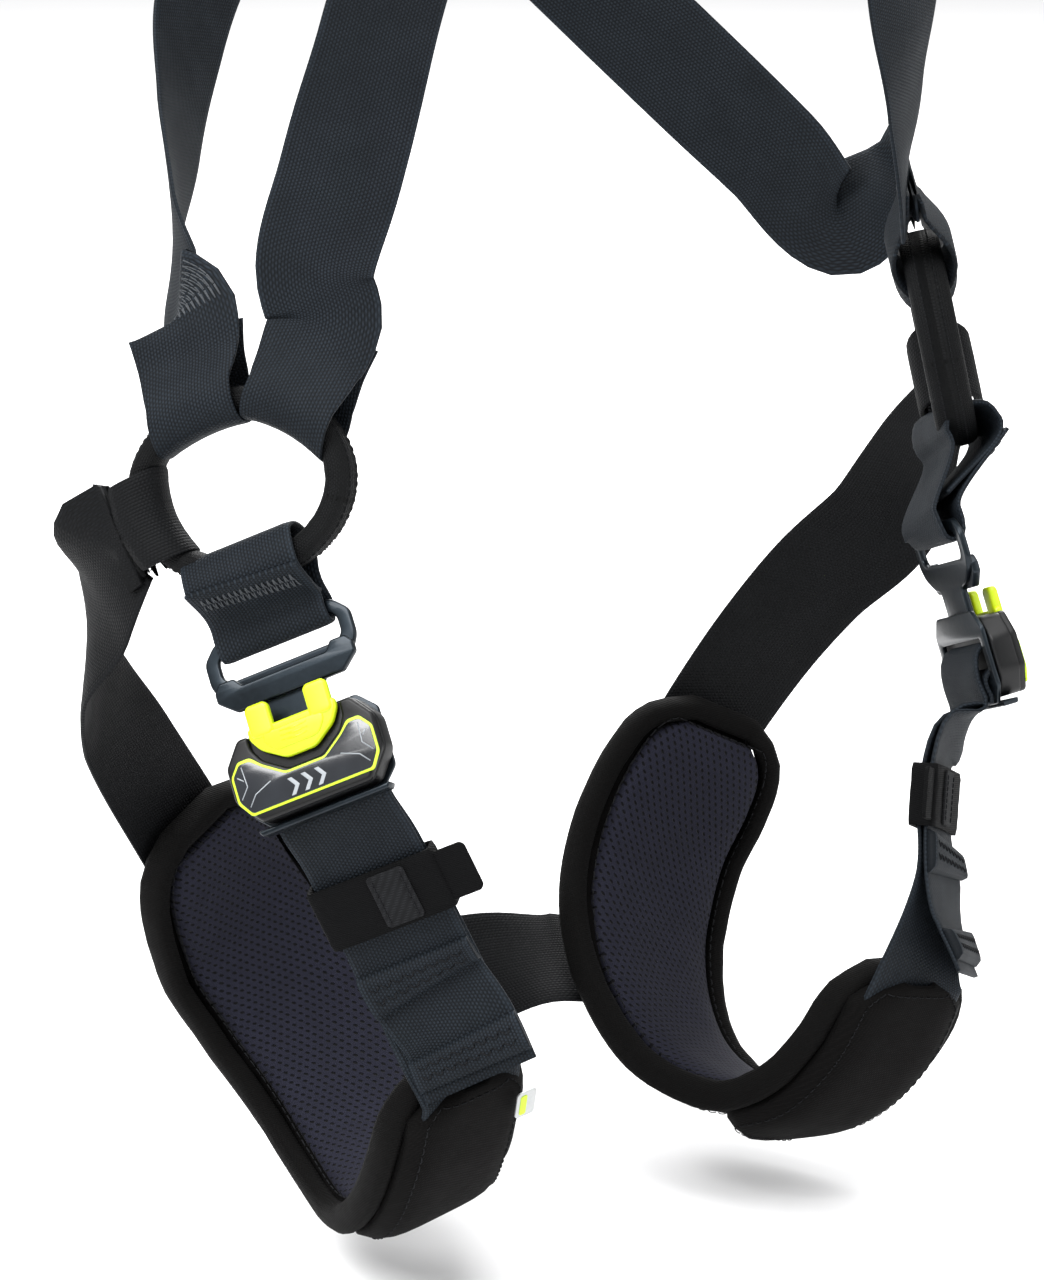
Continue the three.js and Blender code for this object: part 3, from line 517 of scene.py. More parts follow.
def woven(name, dark, light, sheen, pitch=1.5, rib=1.25):
    """Webbing: picks across the strap crossed by ribs along it, with a painted highlight on the high
    threads over a random mottled tone, and paler fuzz along the worn edges.
    """
    m = Shader(name, dark, 0.62, sheen=sheen, specular=0.12)
    u, v = m.uv()
    depth = 0.00028
    picks = m.wave(v, pitch)
    half = m.math("SNAP", m.math("DIVIDE", u, rib), 1.0)
    stagger = m.math("MULTIPLY", half, math.pi)
    turned = m.math("ADD", m.math("MULTIPLY", v, 2 * math.pi / pitch), stagger)
    over = m.math("MULTIPLY_ADD", m.math("SINE", turned), 0.5, 0.5)
    ribs = m.math("ABSOLUTE", m.math("SINE", m.math("MULTIPLY", u, math.pi / rib)))
    weave = m.math("MULTIPLY", m.math("MULTIPLY_ADD", over, 0.75, 0.25), ribs)
    mottled = m.noise(55.0, 4.0)
    tone = m.math("MULTIPLY", weave, m.math("MULTIPLY_ADD", mottled, 0.9, 0.45))
    edge = m.math("SMOOTH_MIN", m.math("ABSOLUTE", u), 24.0, 1.0)
    fuzz = m.math("MULTIPLY", m.math("GREATER_THAN", edge, 20.6), 0.18)
    # painted highlight: the high threads of the weave are coloured towards the light colour; the mottled
    # tone is random and the edge fuzz is wear
    m.color(m.ramp(m.math("ADD", tone, fuzz), dark, light))
    m.spread(m.math("MULTIPLY_ADD", weave, -0.6, m.math("MULTIPLY", mottled, 0.9)), 0.72, 0.5)
    m.bump(weave, depth, 0.85)
    m.bump(picks, depth * 0.3, 0.4)
    m.set("Sheen Tint", (0.62, 0.74, 0.86, 1))
    return m.mat


def cloth(name, dark, light, sheen):
    """Plain close fabric whose threads are counted along the object's own directions."""
    m = Shader(name, dark, 0.8, sheen=sheen, specular=0.07)
    x, y, z = m.place()
    a = m.wave(m.math("ADD", x, m.math("MULTIPLY", y, 0.6)), 0.9)
    b = m.wave(m.math("ADD", z, m.math("MULTIPLY", y, 0.45)), 0.9)
    weave = m.math("MULTIPLY", a, b)
    grain = m.noise(160.0, 5.0)
    folds = m.noise(22.0, 3.0)
    m.color(m.ramp(m.math("MULTIPLY_ADD", weave, 0.5, m.math("MULTIPLY", grain, 0.5)), dark, light))
    m.spread(grain, 0.72, 0.95)
    m.bump(weave, 0.00015, 0.6)
    m.bump(folds, 0.0016, 0.5)
    return m.mat


def perforated(name, dark, light, hole):
    """Spacer mesh: small slanted holes in staggered rows over a knitted ground, the holes filled with a
    flat dark colour as painted shade.
    """
    m = Shader(name, dark, 0.82, sheen=0.02, specular=0.15)
    u, v = m.uv()
    row = m.math("FLOOR", m.math("DIVIDE", v, 2.6))
    shift = m.math("MULTIPLY", m.math("MODULO", row, 2.0), 1.6)
    cu = m.math("SUBTRACT", m.math("FRACT", m.math("DIVIDE", m.math("ADD", u, m.math("ADD", shift, 320.0)),
                                                   3.2)), 0.5)
    cv = m.math("SUBTRACT", m.math("FRACT", m.math("DIVIDE", v, 2.6)), 0.5)
    slanted = m.math("MULTIPLY_ADD", cv, -0.45, cu)
    far = m.math("ADD", m.math("POWER", m.math("MULTIPLY", slanted, 4.6), 2.0),
                 m.math("POWER", m.math("MULTIPLY", cv, 3.4), 2.0))
    solid = m.node("ShaderNodeMapRange", interpolation_type="SMOOTHSTEP")
    solid.inputs[1].default_value = 0.35
    solid.inputs[2].default_value = 1.25
    m.link(far, solid.inputs[0])
    ground = solid.outputs[0]
    knit = m.math("MULTIPLY", m.wave(u, 0.8), m.wave(v, 0.65))
    grain = m.noise(120.0, 4.0)
    tone = m.math("MULTIPLY_ADD", knit, 0.35, m.math("MULTIPLY", grain, 0.65))
    # painted shade: the holes take the dark hole colour in place of the shade inside them
    m.color(m.mix(ground, hole, m.ramp(tone, dark, light)))
    m.spread(grain, 0.75, 0.95)
    m.bump(ground, 0.0008, 0.9)
    m.bump(knit, 0.00012, 0.6)
    return m.mat


def ribbed(name, dark, light, pitch=1.1):
    """Elastic or binding tape: fine cords along one way."""
    m = Shader(name, dark, 0.8, sheen=0.004, specular=0.07)
    x, _, z = m.place()
    cords = m.wave(m.math("ADD", z, m.math("MULTIPLY", x, 0.35)), pitch)
    grain = m.noise(140.0, 4.0)
    m.color(m.ramp(m.math("MULTIPLY_ADD", cords, 0.45, m.math("MULTIPLY", grain, 0.55)), dark, light))
    m.spread(grain, 0.7, 0.92)
    m.bump(cords, 0.00018, 0.7)
    return m.mat


def metal(name, dark, light, roughness, metallic=0.85, coat=0.2):
    """Coated or plain metal, a little mottled, with fine scuffs in the gloss."""
    m = Shader(name, dark, roughness, metallic=metallic, coat=coat, specular=0.4)
    broad = m.noise(40.0, 3.0)
    fine = m.noise(420.0, 5.0, 0.7)
    m.color(m.ramp(m.math("MULTIPLY_ADD", broad, 0.7, m.math("MULTIPLY", fine, 0.3)), dark, light,
                   0.25, 0.8))
    m.spread(m.math("MULTIPLY_ADD", fine, 0.6, m.math("MULTIPLY", broad, 0.4)), roughness - 0.1,
             roughness + 0.14)
    m.bump(fine, 0.00008, 0.35)
    return m.mat


def moulded(name, dark, light, roughness, coat=0.0, grain_size=900.0, depth=0.00006, specular=0.5):
    """Moulded plastic with a fine spark grain and soft variation in its gloss."""
    m = Shader(name, dark, roughness, coat=coat, specular=specular)
    broad = m.noise(30.0, 3.0)
    fine = m.noise(grain_size, 3.0, 0.7)
    m.color(m.ramp(broad, dark, light, 0.3, 0.75))
    m.spread(m.math("MULTIPLY_ADD", fine, 0.5, m.math("MULTIPLY", broad, 0.5)), roughness - 0.08,
             roughness + 0.1)
    m.bump(fine, depth, 0.4)
    return m.mat


# for each woven material the second colour is the painted highlight of its high threads
WEBBING = woven("webbing", (0.0010, 0.0015, 0.0022), (0.0150, 0.0205, 0.0275), 0.008)
FINE_WEBBING = woven("fine_webbing", (0.0010, 0.0014, 0.002), (0.0125, 0.0165, 0.022), 0.008, 1.3, 1.1)
BLACK_WEBBING = woven("black_webbing", (0.0007, 0.0008, 0.001), (0.0050, 0.0056, 0.0068), 0.003, 1.4, 1.2)
SLEEVE = woven("ring_sleeve", (0.0006, 0.0007, 0.0008), (0.0040, 0.0045, 0.0052), 0.003, 1.2, 1.0)
THREAD = ribbed("grey_thread", (0.030, 0.034, 0.038), (0.095, 0.102, 0.110), 0.5)
BLACK_THREAD = ribbed("black_thread", (0.004, 0.004, 0.0045), (0.018, 0.019, 0.021), 0.5)
ELASTIC = ribbed("elastic", (0.0008, 0.0008, 0.0009), (0.0042, 0.0044, 0.0048), 0.8)
BINDING = ribbed("binding_tape", (0.0007, 0.0007, 0.0007), (0.0038, 0.0035, 0.0034), 0.7)
SHELL = cloth("pad_shell_fabric", (0.0007, 0.0006, 0.0006), (0.0044, 0.0040, 0.0039), 0.003)
PATCH = cloth("patch_fabric", (0.004, 0.004, 0.0045), (0.020, 0.021, 0.023), 0.02)
# the third colour of the lining is the painted shade inside its holes
LINING = perforated("pad_mesh", (0.0055, 0.0058, 0.0115), (0.0165, 0.0170, 0.0300),
                    (0.0008, 0.0008, 0.002))
DARK_METAL = metal("dark_metal", (0.006, 0.009, 0.012), (0.017, 0.024, 0.031), 0.34)
STEEL = metal("steel", (0.16, 0.17, 0.18), (0.36, 0.37, 0.38), 0.32, 1.0, 0.0)
PLASTIC = moulded("black_plastic", (0.0012, 0.0013, 0.0015),
                  (0.0036, 0.0039, 0.0045), 0.38, specular=0.25)
LIME = moulded("lime_plastic", (0.46, 0.60, 0.0), (0.57, 0.72, 0.002), 0.40, 0.05)
LIME_LINE = moulded("lime_print", (0.42, 0.62, 0.01), (0.55, 0.76, 0.02), 0.4)
GLOSS = moulded("label_gloss", (0.004, 0.005, 0.007), (0.016, 0.020, 0.027), 0.14, 0.6, 200.0, 0.00001)
PRINT = moulded("pale_print", (0.22, 0.24, 0.26), (0.34, 0.36, 0.38), 0.4)
SILVER_TAG = metal("silver_tag", (0.30, 0.31, 0.31), (0.55, 0.56, 0.56), 0.35, 0.6, 0.2)


# ------------------------------------------------------------------ hip rings and loops on them

LONG_RADIUS, SHORT_RADIUS = 39.0, 31.0
BAR_RADIAL, BAR_AXIAL = 10.0, 16.0
LOOP_CLEARANCE = 2.6
HIP = {
    "left": dict(side=1, centre=on(1, 162, -50, 107), roll=78, loops=dict(
        front=(75, 84, 28), back=(126, 115, 28), rear=(217, 225, 28), link=(278, 276, 30))),
    "right": dict(side=-1, centre=on(-1, 158, -48, 93), roll=17, loops=dict(
        front=(57, 75, 35), back=(125, 106, 34), rear=(205, 210, 33), link=(280, 284, 42))),
}


def ring_frame(hip):
    side = hip["side"]
    face = on(side, 0.801, -0.561, 0.208).normalized()
    ahead = vec(side * -0.574, -0.819, 0)
    up = face.cross(ahead) * (1 if side < 0 else -1)
    return Frame(hip["centre"], ahead, up, face)


def ring_point(hip, degrees):
    roll = math.radians(hip["roll"])
    angle = math.radians(degrees) - roll
    a, b = LONG_RADIUS, SHORT_RADIUS
    t = math.atan2(a * math.sin(angle), b * math.cos(angle))

    def rotate(x, y):
        return (x * math.cos(roll) - y * math.sin(roll), x * math.sin(roll) + y * math.cos(roll))

    at = rotate(a * math.cos(t), b * math.sin(t))
    size = math.hypot(b * math.cos(t), a * math.sin(t))
    return at, rotate(b * math.cos(t) / size, a * math.sin(t) / size)


def bar_crossing(hip, degrees, along, sideways, grow):
    here = ring_point(hip, degrees)[0]

    def offset(turned):
        at, out = ring_point(hip, degrees + turned)
        x, y = at[0] + out[0] * grow - here[0], at[1] + out[1] * grow - here[1]
        return x * along[0] + y * along[1], y * along[0] - x * along[1]

    low, high = -75.0, 75.0
    for _ in range(24):
        middle = (low + high) / 2
        if offset(middle)[1] < sideways:
            low = middle
        else:
            high = middle
    return offset(low)[0]


def ring_loop(hip, which, sewn=30.0):
    """A strap end going round the ring: down its outside, through the hole and back up."""
    degrees, pull, wide = hip["loops"][which]
    place = ring_frame(hip)
    here = ring_point(hip, degrees)[0]
    angle = math.radians(pull)
    along = (math.cos(angle), math.sin(angle))

    def bend_at(grow):
        sooner, base, later = [bar_crossing(hip, degrees, along, k * wide / 2, grow)
                               for k in (-1, 0, 1)]
        return base, (later - sooner) / 2, (later + sooner) / 2 - base

    on_bar, inside = bend_at(0), bend_at(-BAR_RADIAL / 2)
    wall = LOOP_CLEARANCE + 1
    half = BAR_AXIAL / 2 + wall
    layer = 1.2
    outward = place.turn(along[0], along[1], 0)
    axis = place.turn(0, 0, 1)
    later_side = place.turn(-along[1], along[0], 0)

    def make(r, n, face_r, face_n, width, share, bend=on_bar):
        return Station(place.place(here[0] + along[0] * r, here[1] + along[1] * r, n),
                       outward * face_r + axis * face_n, width, outward * bend[1] * share * 0.7,
                       outward * bend[2] * share * 0.5, later_side)

    far = inside[0] - wall
    middle = (wide + WIDTH) / 2
    halfway = (8 + sewn) / 2
    return [
        make(sewn + 4, layer, 0, 1, WIDTH, 0),
        make(halfway, layer + 2.4, -0.4, 1, middle, 0.3),
        make(8, half - 1.4, -0.4, 1, wide, 1),
        make(0, half, 0, 1, wide, 1),
        make(far + 1.5, half * 0.62, -1, 0.7, wide, 1, inside),
        make(far, 0, -1, 0, wide, 1, inside),
        make(far + 1.5, -half * 0.62, -1, -0.7, wide, 1, inside),
        make(0, -half, 0, -1, wide, 1),
        make(8, -half + 1.4, -0.4, -1, wide, 1),
        make(halfway, -layer - 2.4, -0.4, -1, middle, 0.3),
        make(sewn, -layer, 0, -1, WIDTH, 0),
    ]


def hip_ring(name, hip):
    """The fabric sleeve sewn round the ring: a soft oval tube with two rows of stitches."""
    place = ring_frame(hip)
    body = f"{name}_ring"
    steps, sides = 132, 20
    rings, coords = [], []
    for i in range(steps):
        degrees = 360 * i / steps
        at, out = ring_point(hip, degrees)
        ring, line = [], []
        for k in range(sides):
            a = 2 * math.pi * k / sides
            c, s = math.cos(a), math.sin(a)
            r = BAR_RADIAL / 2 * math.copysign(abs(c) ** 0.72, c)
            n = BAR_AXIAL / 2 * math.copysign(abs(s) ** 0.72, s)
            pucker = 0.25 * noise.noise(Vector((i * 0.55, k * 0.8, hip["side"])))
            r += pucker
            ring.append(place.place(at[0] + out[0] * r, at[1] + out[1] * r, n))
            line.append((k * 2.2, i * 1.68))
        rings.append(ring)
        coords.append(line)
    verts, faces, uvs = loft(rings, coords, True)
    obj = make_object(f"{name}_ring_sleeve", verts, faces, SLEEVE, uvs)
    finish_piece(obj, body, [f"{name}_hip_ring_cover"])
    rows = Bundle()

    def surface(v, s, h):
        at, out = ring_point(hip, v)
        r = BAR_RADIAL / 2 + h - 0.1
        return place.place(at[0] + out[0] * r, at[1] + out[1] * r, s)

    for n in (-3.4, 3.4):
        stitches(rows, surface, [(d * 4.0, n) for d in range(91)], 1.9, 0.5, 0.26, 0.0)
    rows.make(f"{name}_ring_stitches", body, BLACK_THREAD)


# ------------------------------------------------------------------ straps over the body

def route(side, row):
    """A stop from [out, back, up, turn of the outer face from the front in degrees, lean up]."""
    out, back, up, turned = row[:4]
    lift = row[4] if len(row) > 4 else 0
    a = math.radians(turned)
    return Station(on(side, out, back, up), on(side, math.sin(a), -math.cos(a), lift), WIDTH)


CHEST_ROUTE = [
    (135, -62, 172, 52), (129, -70, 208, 36), (119, -80, 260, 14), (106, -89, 320, 10),
    (93, -84, 385, 8, 0.25), (87, -54, 443, 0, 1.2), (83, -8, 466, 0, 20),
    (75, 40, 456, 180, 1.6), (60, 80, 420, 180, 0.5), (32, 104, 380, 180, 0.15),
]
CROSSING = (0, 112, 345, 180)
BACK_ROUTE = {
    "left": [(30, 108, 308, 176), (62, 96, 268, 170), (92, 76, 232, 163), (118, 50, 198, 150),
             (138, 26, 170, 134), (153, 4, 146, 112)],
    "right": [(32, 108, 314, 176), (66, 97, 278, 172), (97, 79, 242, 168), (121, 51, 206, 150),
              (139, 26, 178, 126), (153, 0, 152, 92)],
}


def shoulder_strap(name, other, outwards, seed):
    hip, other_hip = HIP[name], HIP[other]
    start = ring_loop(hip, "front")[::-1]
    end = ring_loop(other_hip, "back")
    chest = [route(hip["side"], row) for row in CHEST_ROUTE]
    crossing = route(hip["side"], CROSSING)
    back = [route(other_hip["side"], row) for row in BACK_ROUTE[other]]
    for stop in (chest[-1], crossing, back[0]):
        stop.at.y += outwards
    strip = strap(f"{name}_shoulder_webbing", [*start, *chest, crossing, *back, *end], "harness",
                     WEBBING, replaces=[f"{name}_shoulder_strap"], seed=seed)
    return strip, start, end


def length_at(strip, point):
    """The length along the strip at which it comes nearest to a point."""
    best = min(range(len(strip.rows)), key=lambda i: (strip.rows[i][0] - point).length)
    return strip.lengths[best]


def sew(name, strip, near, reach, body, rows=1, turns=34, side=1, shift=0.0, material=THREAD):
    """A zigzag patch on a strap, round the place nearest to a point."""
    v = length_at(strip, near) + shift
    zigzag(strip, v - reach / 2, v + reach / 2, rows, turns, side).make(name, body, material)


# ------------------------------------------------------------------ leg pads

PAD_ROUTE = [
    (124, 34, -60, .2, .96, -.1, 38), (121, 36, -67, .15, .96, -.15, 56),
    (110, 40, -88, .02, .95, -.28, 66), (98, 41, -110, -.15, .9, -.4, 70),
    (84, 31, -136, -.3, .69, -.66, 70), (76, 12, -160, -.36, .39, -.85, 66),
    (76, -12, -179, -.33, .13, -.94, 62), (85, -44, -186, -.26, -.2, -.93, 58),
    (94, -68, -175, -.2, -.5, -.84, 56), (101, -87, -154, -.15, -.75, -.6, 54),
    (104, -99, -131, -.1, -.93, -.36, 52), (105, -102, -122, -.05, -.95, -.3, 40),
]
STRAP_HEIGHT = 14.6
POCKET_HEIGHT = 19.0


def pad_stations(side, wider=0.0):
    return [Station(on(side, o, b, u), on(side, fo, fb, fu), w + wider)
            for o, b, u, fo, fb, fu, w in PAD_ROUTE]


def on_pad(side, rows):
    pad = pad_stations(side)
    return [Station(pad[i].at + pad[i].face * STRAP_HEIGHT, pad[i].face, WIDTH) for i in rows]


def taper(strip, v, radius):
    """How much of the full width is left near an end that is rounded off."""
    d = min(v, strip.length - v)
    if d >= radius:
        return 1.0
    f = 1 - d / radius
    return 0.42 + 0.58 * math.sqrt(max(0.0, 1 - f * f))


def settle(obj, pressure, cap, voxel):
    """Fills a pad by simulating its cloth under pressure, with a limit on how far it swells."""
    remesh = obj.modifiers.new("Remesh", "REMESH")
    remesh.mode = "VOXEL"
    remesh.voxel_size = voxel
    bake(obj)
    rest = [v.co.copy() for v in obj.data.vertices]
    modifier = obj.modifiers.new("Cloth", "CLOTH")
    modifier.settings.use_pressure = True
    modifier.settings.uniform_pressure_force = pressure
    modifier.settings.effector_weights.gravity = 0
    modifier.settings.tension_stiffness = 25
    modifier.settings.compression_stiffness = 25
    modifier.settings.bending_stiffness = 0.6
    modifier.point_cache.frame_start = 1
    modifier.point_cache.frame_end = 20
    scene = bpy.context.scene
    for f in range(1, 21):
        scene.frame_set(f)
    graph = bpy.context.evaluated_depsgraph_get()
    moved = [v.co.copy() for v in obj.evaluated_get(graph).data.vertices]
    obj.modifiers.remove(modifier)
    for v, a, b in zip(obj.data.vertices, rest, moved):
        step = b - a
        if step.length > cap:
            step *= cap / step.length
        v.co = a + step
    scene.frame_set(1)
    subdivide = obj.modifiers.new("Subdivision", "SUBSURF")
    subdivide.levels = 1
    subdivide.render_levels = 1
    bake(obj)
    for polygon in obj.data.polygons:
        polygon.use_smooth = True


def bake(obj):
    graph = bpy.context.evaluated_depsgraph_get()
    mesh = bpy.data.meshes.new_from_object(obj.evaluated_get(graph))
    obj.modifiers.clear()
    old = obj.data
    materials = list(old.materials)
    obj.data = mesh
    if not mesh.materials:
        for m in materials:
            mesh.materials.append(m)
    bpy.data.meshes.remove(old)


def pad_body(name, side):
    """The padded leg loop: a crowned closed form with a rounded rim and rounded ends."""
    strip = Strip(pad_stations(side, 5.0), 5.0)
    rings = []
    count = 16
    for v in strip.lengths:
        width = taper(strip, v, 22.0)
        ends = min(1.0, 0.45 + 0.55 * min(v, strip.length - v) / 14.0)
        ring = []
        for k in range(count):
            a = 2 * math.pi * (k + 0.5) / count
            c, s = math.cos(a), math.sin(a)
            across = math.copysign(abs(c) ** 0.5, c) * width
            height = 6.6 + math.copysign(abs(s) ** 0.75, s) * 4.6 * ends
            ring.append(strip.point(v, across, height))
        rings.append(ring)
    verts, faces, _ = loft(rings)
    obj = make_object(f"{name}_pad_cushion", verts, faces, SHELL)
    settle(obj, 4.0, 0.0024, 0.005)
    finish_piece(obj, "harness", [f"{name}_pad_foam", f"{name}_pad_shell"])
    return strip


def pad_lining(name, side, strip):
    """The mesh panel against the thigh, sewn inside the binding and slightly quilted."""
    rails = [-1 + 2 * k / 14 for k in range(15)]
    first, last = 7.0, strip.length - 7.0
    steps = 62
    rings, coords = [], []
    for i in range(steps + 1):
        v = first + (last - first) * i / steps
        inner = taper(strip, v - first + 1.5, 18.0) * 0.80
        row_top, row_low, line = [], [], []
        for s in rails:
            crown = (1 - s ** 4) * min(1.0, 0.3 + min(v - first, last - v) / 16.0)
            dimple = 0.5 * noise.noise(Vector((v * 0.05, s * 1.4, side * 3.0)))
            row_top.append(strip.point(v, s * inner, -0.9 - 3.4 * crown + dimple))
            row_low.append(strip.point(v, s * inner, 3.2))
            line.append((s * inner * strip.width(v) / 2, v))
        rings.append(row_top + row_low[::-1])
        coords.append(line + line[::-1])
    verts, faces, uvs = loft(rings, coords)
    obj = make_object(f"{name}_pad_mesh", verts, faces, LINING, uvs)
    finish_piece(obj, "harness", [f"{name}_pad_lining"])


def rim_path(strip, inset, radius, offset):
    """Points round the pad's edge, at a share of its width."""
    count = 60
    stops = [(offset + (strip.length - 2 * offset) * i / count, 1) for i in range(count + 1)]
    stops += [(strip.length - offset, s) for s in (0.6, 0.2, -0.2, -0.6)]
    stops += [(v, -1) for v, _ in reversed(stops[:count + 1])]
    stops += [(offset, s) for s in (-0.6, -0.2, 0.2, 0.6)]
    return [(v, s * taper(strip, v, radius) * inset) for v, s in stops]


def pad_binding(name, side, strip):
    """A tape folded over the pad's edge all round, and a row of stitches just inside it."""
    path = rim_path(strip, 1.0, 22.0, 1.0)
    rings = []
    count = len(path)
    centre = [strip.point(v, s, 4.6) for v, s in path]
    faces_up = [strip.row(v)[2] for v, s in path]
    for i in range(count):
        tangent = (centre[(i + 1) % count] - centre[i - 1]).normalized()
        up = faces_up[i]
        out = tangent.cross(up).normalized()
        ring = []
        for k in range(12):
            a = 2 * math.pi * k / 12
            c, s = math.cos(a), math.sin(a)
            wobble = 1 + 0.05 * noise.noise(Vector((i * 0.5, k, side)))
            ring.append(centre[i] + out * (4.4 * math.copysign(abs(c) ** 0.8, c) * wobble)
                        + up * (6.2 * math.copysign(abs(s) ** 0.8, s) * wobble))
        rings.append(ring)
    verts, faces, _ = loft(rings, None, True)
    obj = make_object(f"{name}_pad_binding", verts, faces, BINDING)
    finish_piece(obj, "harness")
    seam = Bundle()
    inner = rim_path(strip, 0.855, 20.0, 6.0)
    stitches(seam, lambda v, s, h: strip.point(v, s, -1.4 - h), inner + inner[:1], 2.6, 0.9, 0.28, 0.1)
    stitches(seam, lambda v, s, h: strip.point(v, s, 11.2 + h), inner + inner[:1], 2.6, 0.9, 0.28, 0.1)
    seam.make(f"{name}_pad_seam", "harness", BLACK_THREAD)


def pad_pocket(name, side):
    """The outer panel that covers the front strap's sewn end."""
    stations = [Station(s.at + s.face * POCKET_HEIGHT, s.face, s.width + 1)
                for s in pad_stations(side)[7:]]
    strip = Strip(stations, 5.0)
    rails = [-1 + 2 * k / 12 for k in range(13)]
    rings = []
    for v in strip.lengths:
        width = taper(strip, v, 14.0)
        top = [strip.point(v, s * width, 1.2 - 6.5 * abs(s) ** 5) for s in rails]
        low = [strip.point(v, s * width, -1.0 - 7.5 * abs(s) ** 5) for s in rails]
        rings.append(top + low[::-1])
    verts, faces, _ = loft(rings)
    obj = make_object(f"{name}_pad_panel", verts, faces, SHELL)
    finish_piece(obj, "harness", [f"{name}_pad_pocket"])
    seam = Bundle()
    path = [(4 + (strip.length - 8) * i / 24, 0.82) for i in range(25)]
    path += [(v, -s) for v, s in reversed(path)]
    path.append(path[0])
    shape = lambda v, s, h: strip.point(v, s * taper(strip, v, 14.0), 1.2 - 6.5 * abs(s) ** 5 + h)
    stitches(seam, shape, path, 2.6, 0.9, 0.28, 0.1)
    seam.make(f"{name}_panel_seam", "harness", BLACK_THREAD)


def pad(name, side):
    strip = pad_body(name, side)
    pad_lining(name, side, strip)
    pad_binding(name, side, strip)
    pad_pocket(name, side)


# ------------------------------------------------------------------ leg straps

REAR_ROUTE = [(189, 0, 42, 96), (186, 16, 16, 128), (168, 33, -8, 150), (148, 43, -34, 160)]
LEG_BUCKLE = {
    "left": frame_at(on(1, 149, -87, -13), on(1, -0.09, 0.366, 0.925), on(1, 0.939, -0.276, 0.201)),
    "right": frame_at(on(-1, 152, -88, -4), on(-1, -0.045, 0.556, 0.829),
                      on(-1, 0.789, -0.489, 0.371)),
}
FRONT_ROUTE = {
    "left": [(131, -92, -45, 46, 0.1), (125, -96, -66, 42, 0.1), (119, -107, -90, 36, 0.1)],
    "right": [(139, -97, -37, 53, 0.2), (129, -103, -62, 50, 0.2), (119, -109, -87, 47, 0.2)],
}
TAIL_LIFT = 3.2
TAIL_END = {
    "left": [(120, -115, -106, 40, 0), (121, -126, -124, 42, 0)],
    "right": [(113, -121, -104, 46, 0.1), (109, -130, -122, 44, 0.1)],
}
FRAME_MIDDLE = 3.5
FRAME_TOP, WINDOW_TOP, WINDOW_BOTTOM = 55.5, 50.5, 39.5
ADJUSTER_Y, ADJUSTER_N = 0.3, 4.4


def rear_strap(name, hip):
    side = hip["side"]
    start = ring_loop(hip, "rear", sewn=15.0)[::-1]
    stations = [*start, *[route(side, row) for row in REAR_ROUTE], *on_pad(side, [1, 2, 3])]
    strip = strap(f"{name}_rear_webbing", stations, "harness", BLACK_WEBBING,
                     replaces=[f"{name}_rear_strap"], seed=side * 5.0)
    sew(f"{name}_rear_stitches", strip, start[0].at, 9, "harness", side=-1, shift=9.0)
    sew(f"{name}_rear_tack", strip, stations[-1].at, 16, "harness", 2, 30, shift=-14.0,
        material=BLACK_THREAD)


def bridge():
    """The short strap behind the wearer between the two pads."""
    half = []
    for side in (-1, 1):
        stations = pad_stations(side)
        a, b = stations[4], stations[5]
        along = b.at - a.at
        face = a.face.lerp(b.face, 0.3).normalized()
        outwards = along.cross(face).normalized()
        if outwards.x * side < 0:
            outwards = -outwards
        lifted = a.at.lerp(b.at, 0.3) + face * (STRAP_HEIGHT + 4)
        half.append([Station(lifted + outwards * s, face, WIDTH) for s in (16, -12, -34)])
    centre = Station(vec(0, 60, -152), vec(0, 0.93, -0.36), WIDTH)
    strip = strap("bridge_webbing", [*half[0], centre, *half[1][::-1]], "harness", BLACK_WEBBING,
                     replaces=["bridge_strap"], seed=2.0)
    for i, place in enumerate((half[0][0].at, half[1][0].at)):
        sew(f"bridge_stitches_{i}", strip, place, 12, "harness", shift=(12, -12)[i])


LINK_SEED = {"left": 11.0, "right": 17.0}


def hip_link(name, hip, buckle):
    """The short band from the ring to the buckle's frame."""
    degrees = hip["loops"]["link"][0]
    low = ring_frame(hip).place(*ring_point(hip, degrees)[0], 0) - buckle.origin
    px, py, pn = low.dot(buckle.x), low.dot(buckle.y), low.dot(buckle.z)
    bar = (FRAME_TOP + WINDOW_TOP) / 2
    mid = FRAME_MIDDLE
    rows = [
        (bar + 10, mid + 2.6, 0, 1, 0.3), (py - 5.5, pn + 9.8, -0.2, 1, 0.8), (py + 1, pn + 11, 0.1, 1, 1),
        (py + 8, pn + 8, 0.8, 0.8, 1), (py + 10.2, pn, 1, 0, 1), (py + 8, pn - 8, 0.8, -0.8, 1),
        (py + 1, pn - 11, 0.1, -1, 1), (py - 5.5, pn - 9.8, -0.2, -1, 0.8),
        (bar + 5, mid - 5.2, 0.1, -1, 0.2), (bar, mid - 4.6, 0, -1, 0),
        (bar - 4.4, mid - 3, -1, -0.8, 0), (bar - 5.6, mid, -1, 0, 0),
        (bar - 4.4, mid + 3, -1, 0.8, 0), (bar, mid + 4.6, 0, 1, 0),
        (bar + 6, mid + 5.4, 0, 1, 0.15), (py - 5.5, pn + 12.2, -0.2, 1, 0.75),
    ]
    stations = [Station(buckle.place(px * share, y, n), buckle.turn(0, fy, fn), WIDTH)
                for y, n, fy, fn, share in rows]
    strip = strap(f"{name}_link_webbing", stations, f"{name}_clip", WEBBING,
                     replaces=[f"{name}_hip_link"], seed=LINK_SEED[name], step=3.0, waver=0.3)
    zigzag(strip, strip.length - 12.5, strip.length - 3.5, 1, 34).make(
        f"{name}_link_stitches", f"{name}_clip", THREAD)


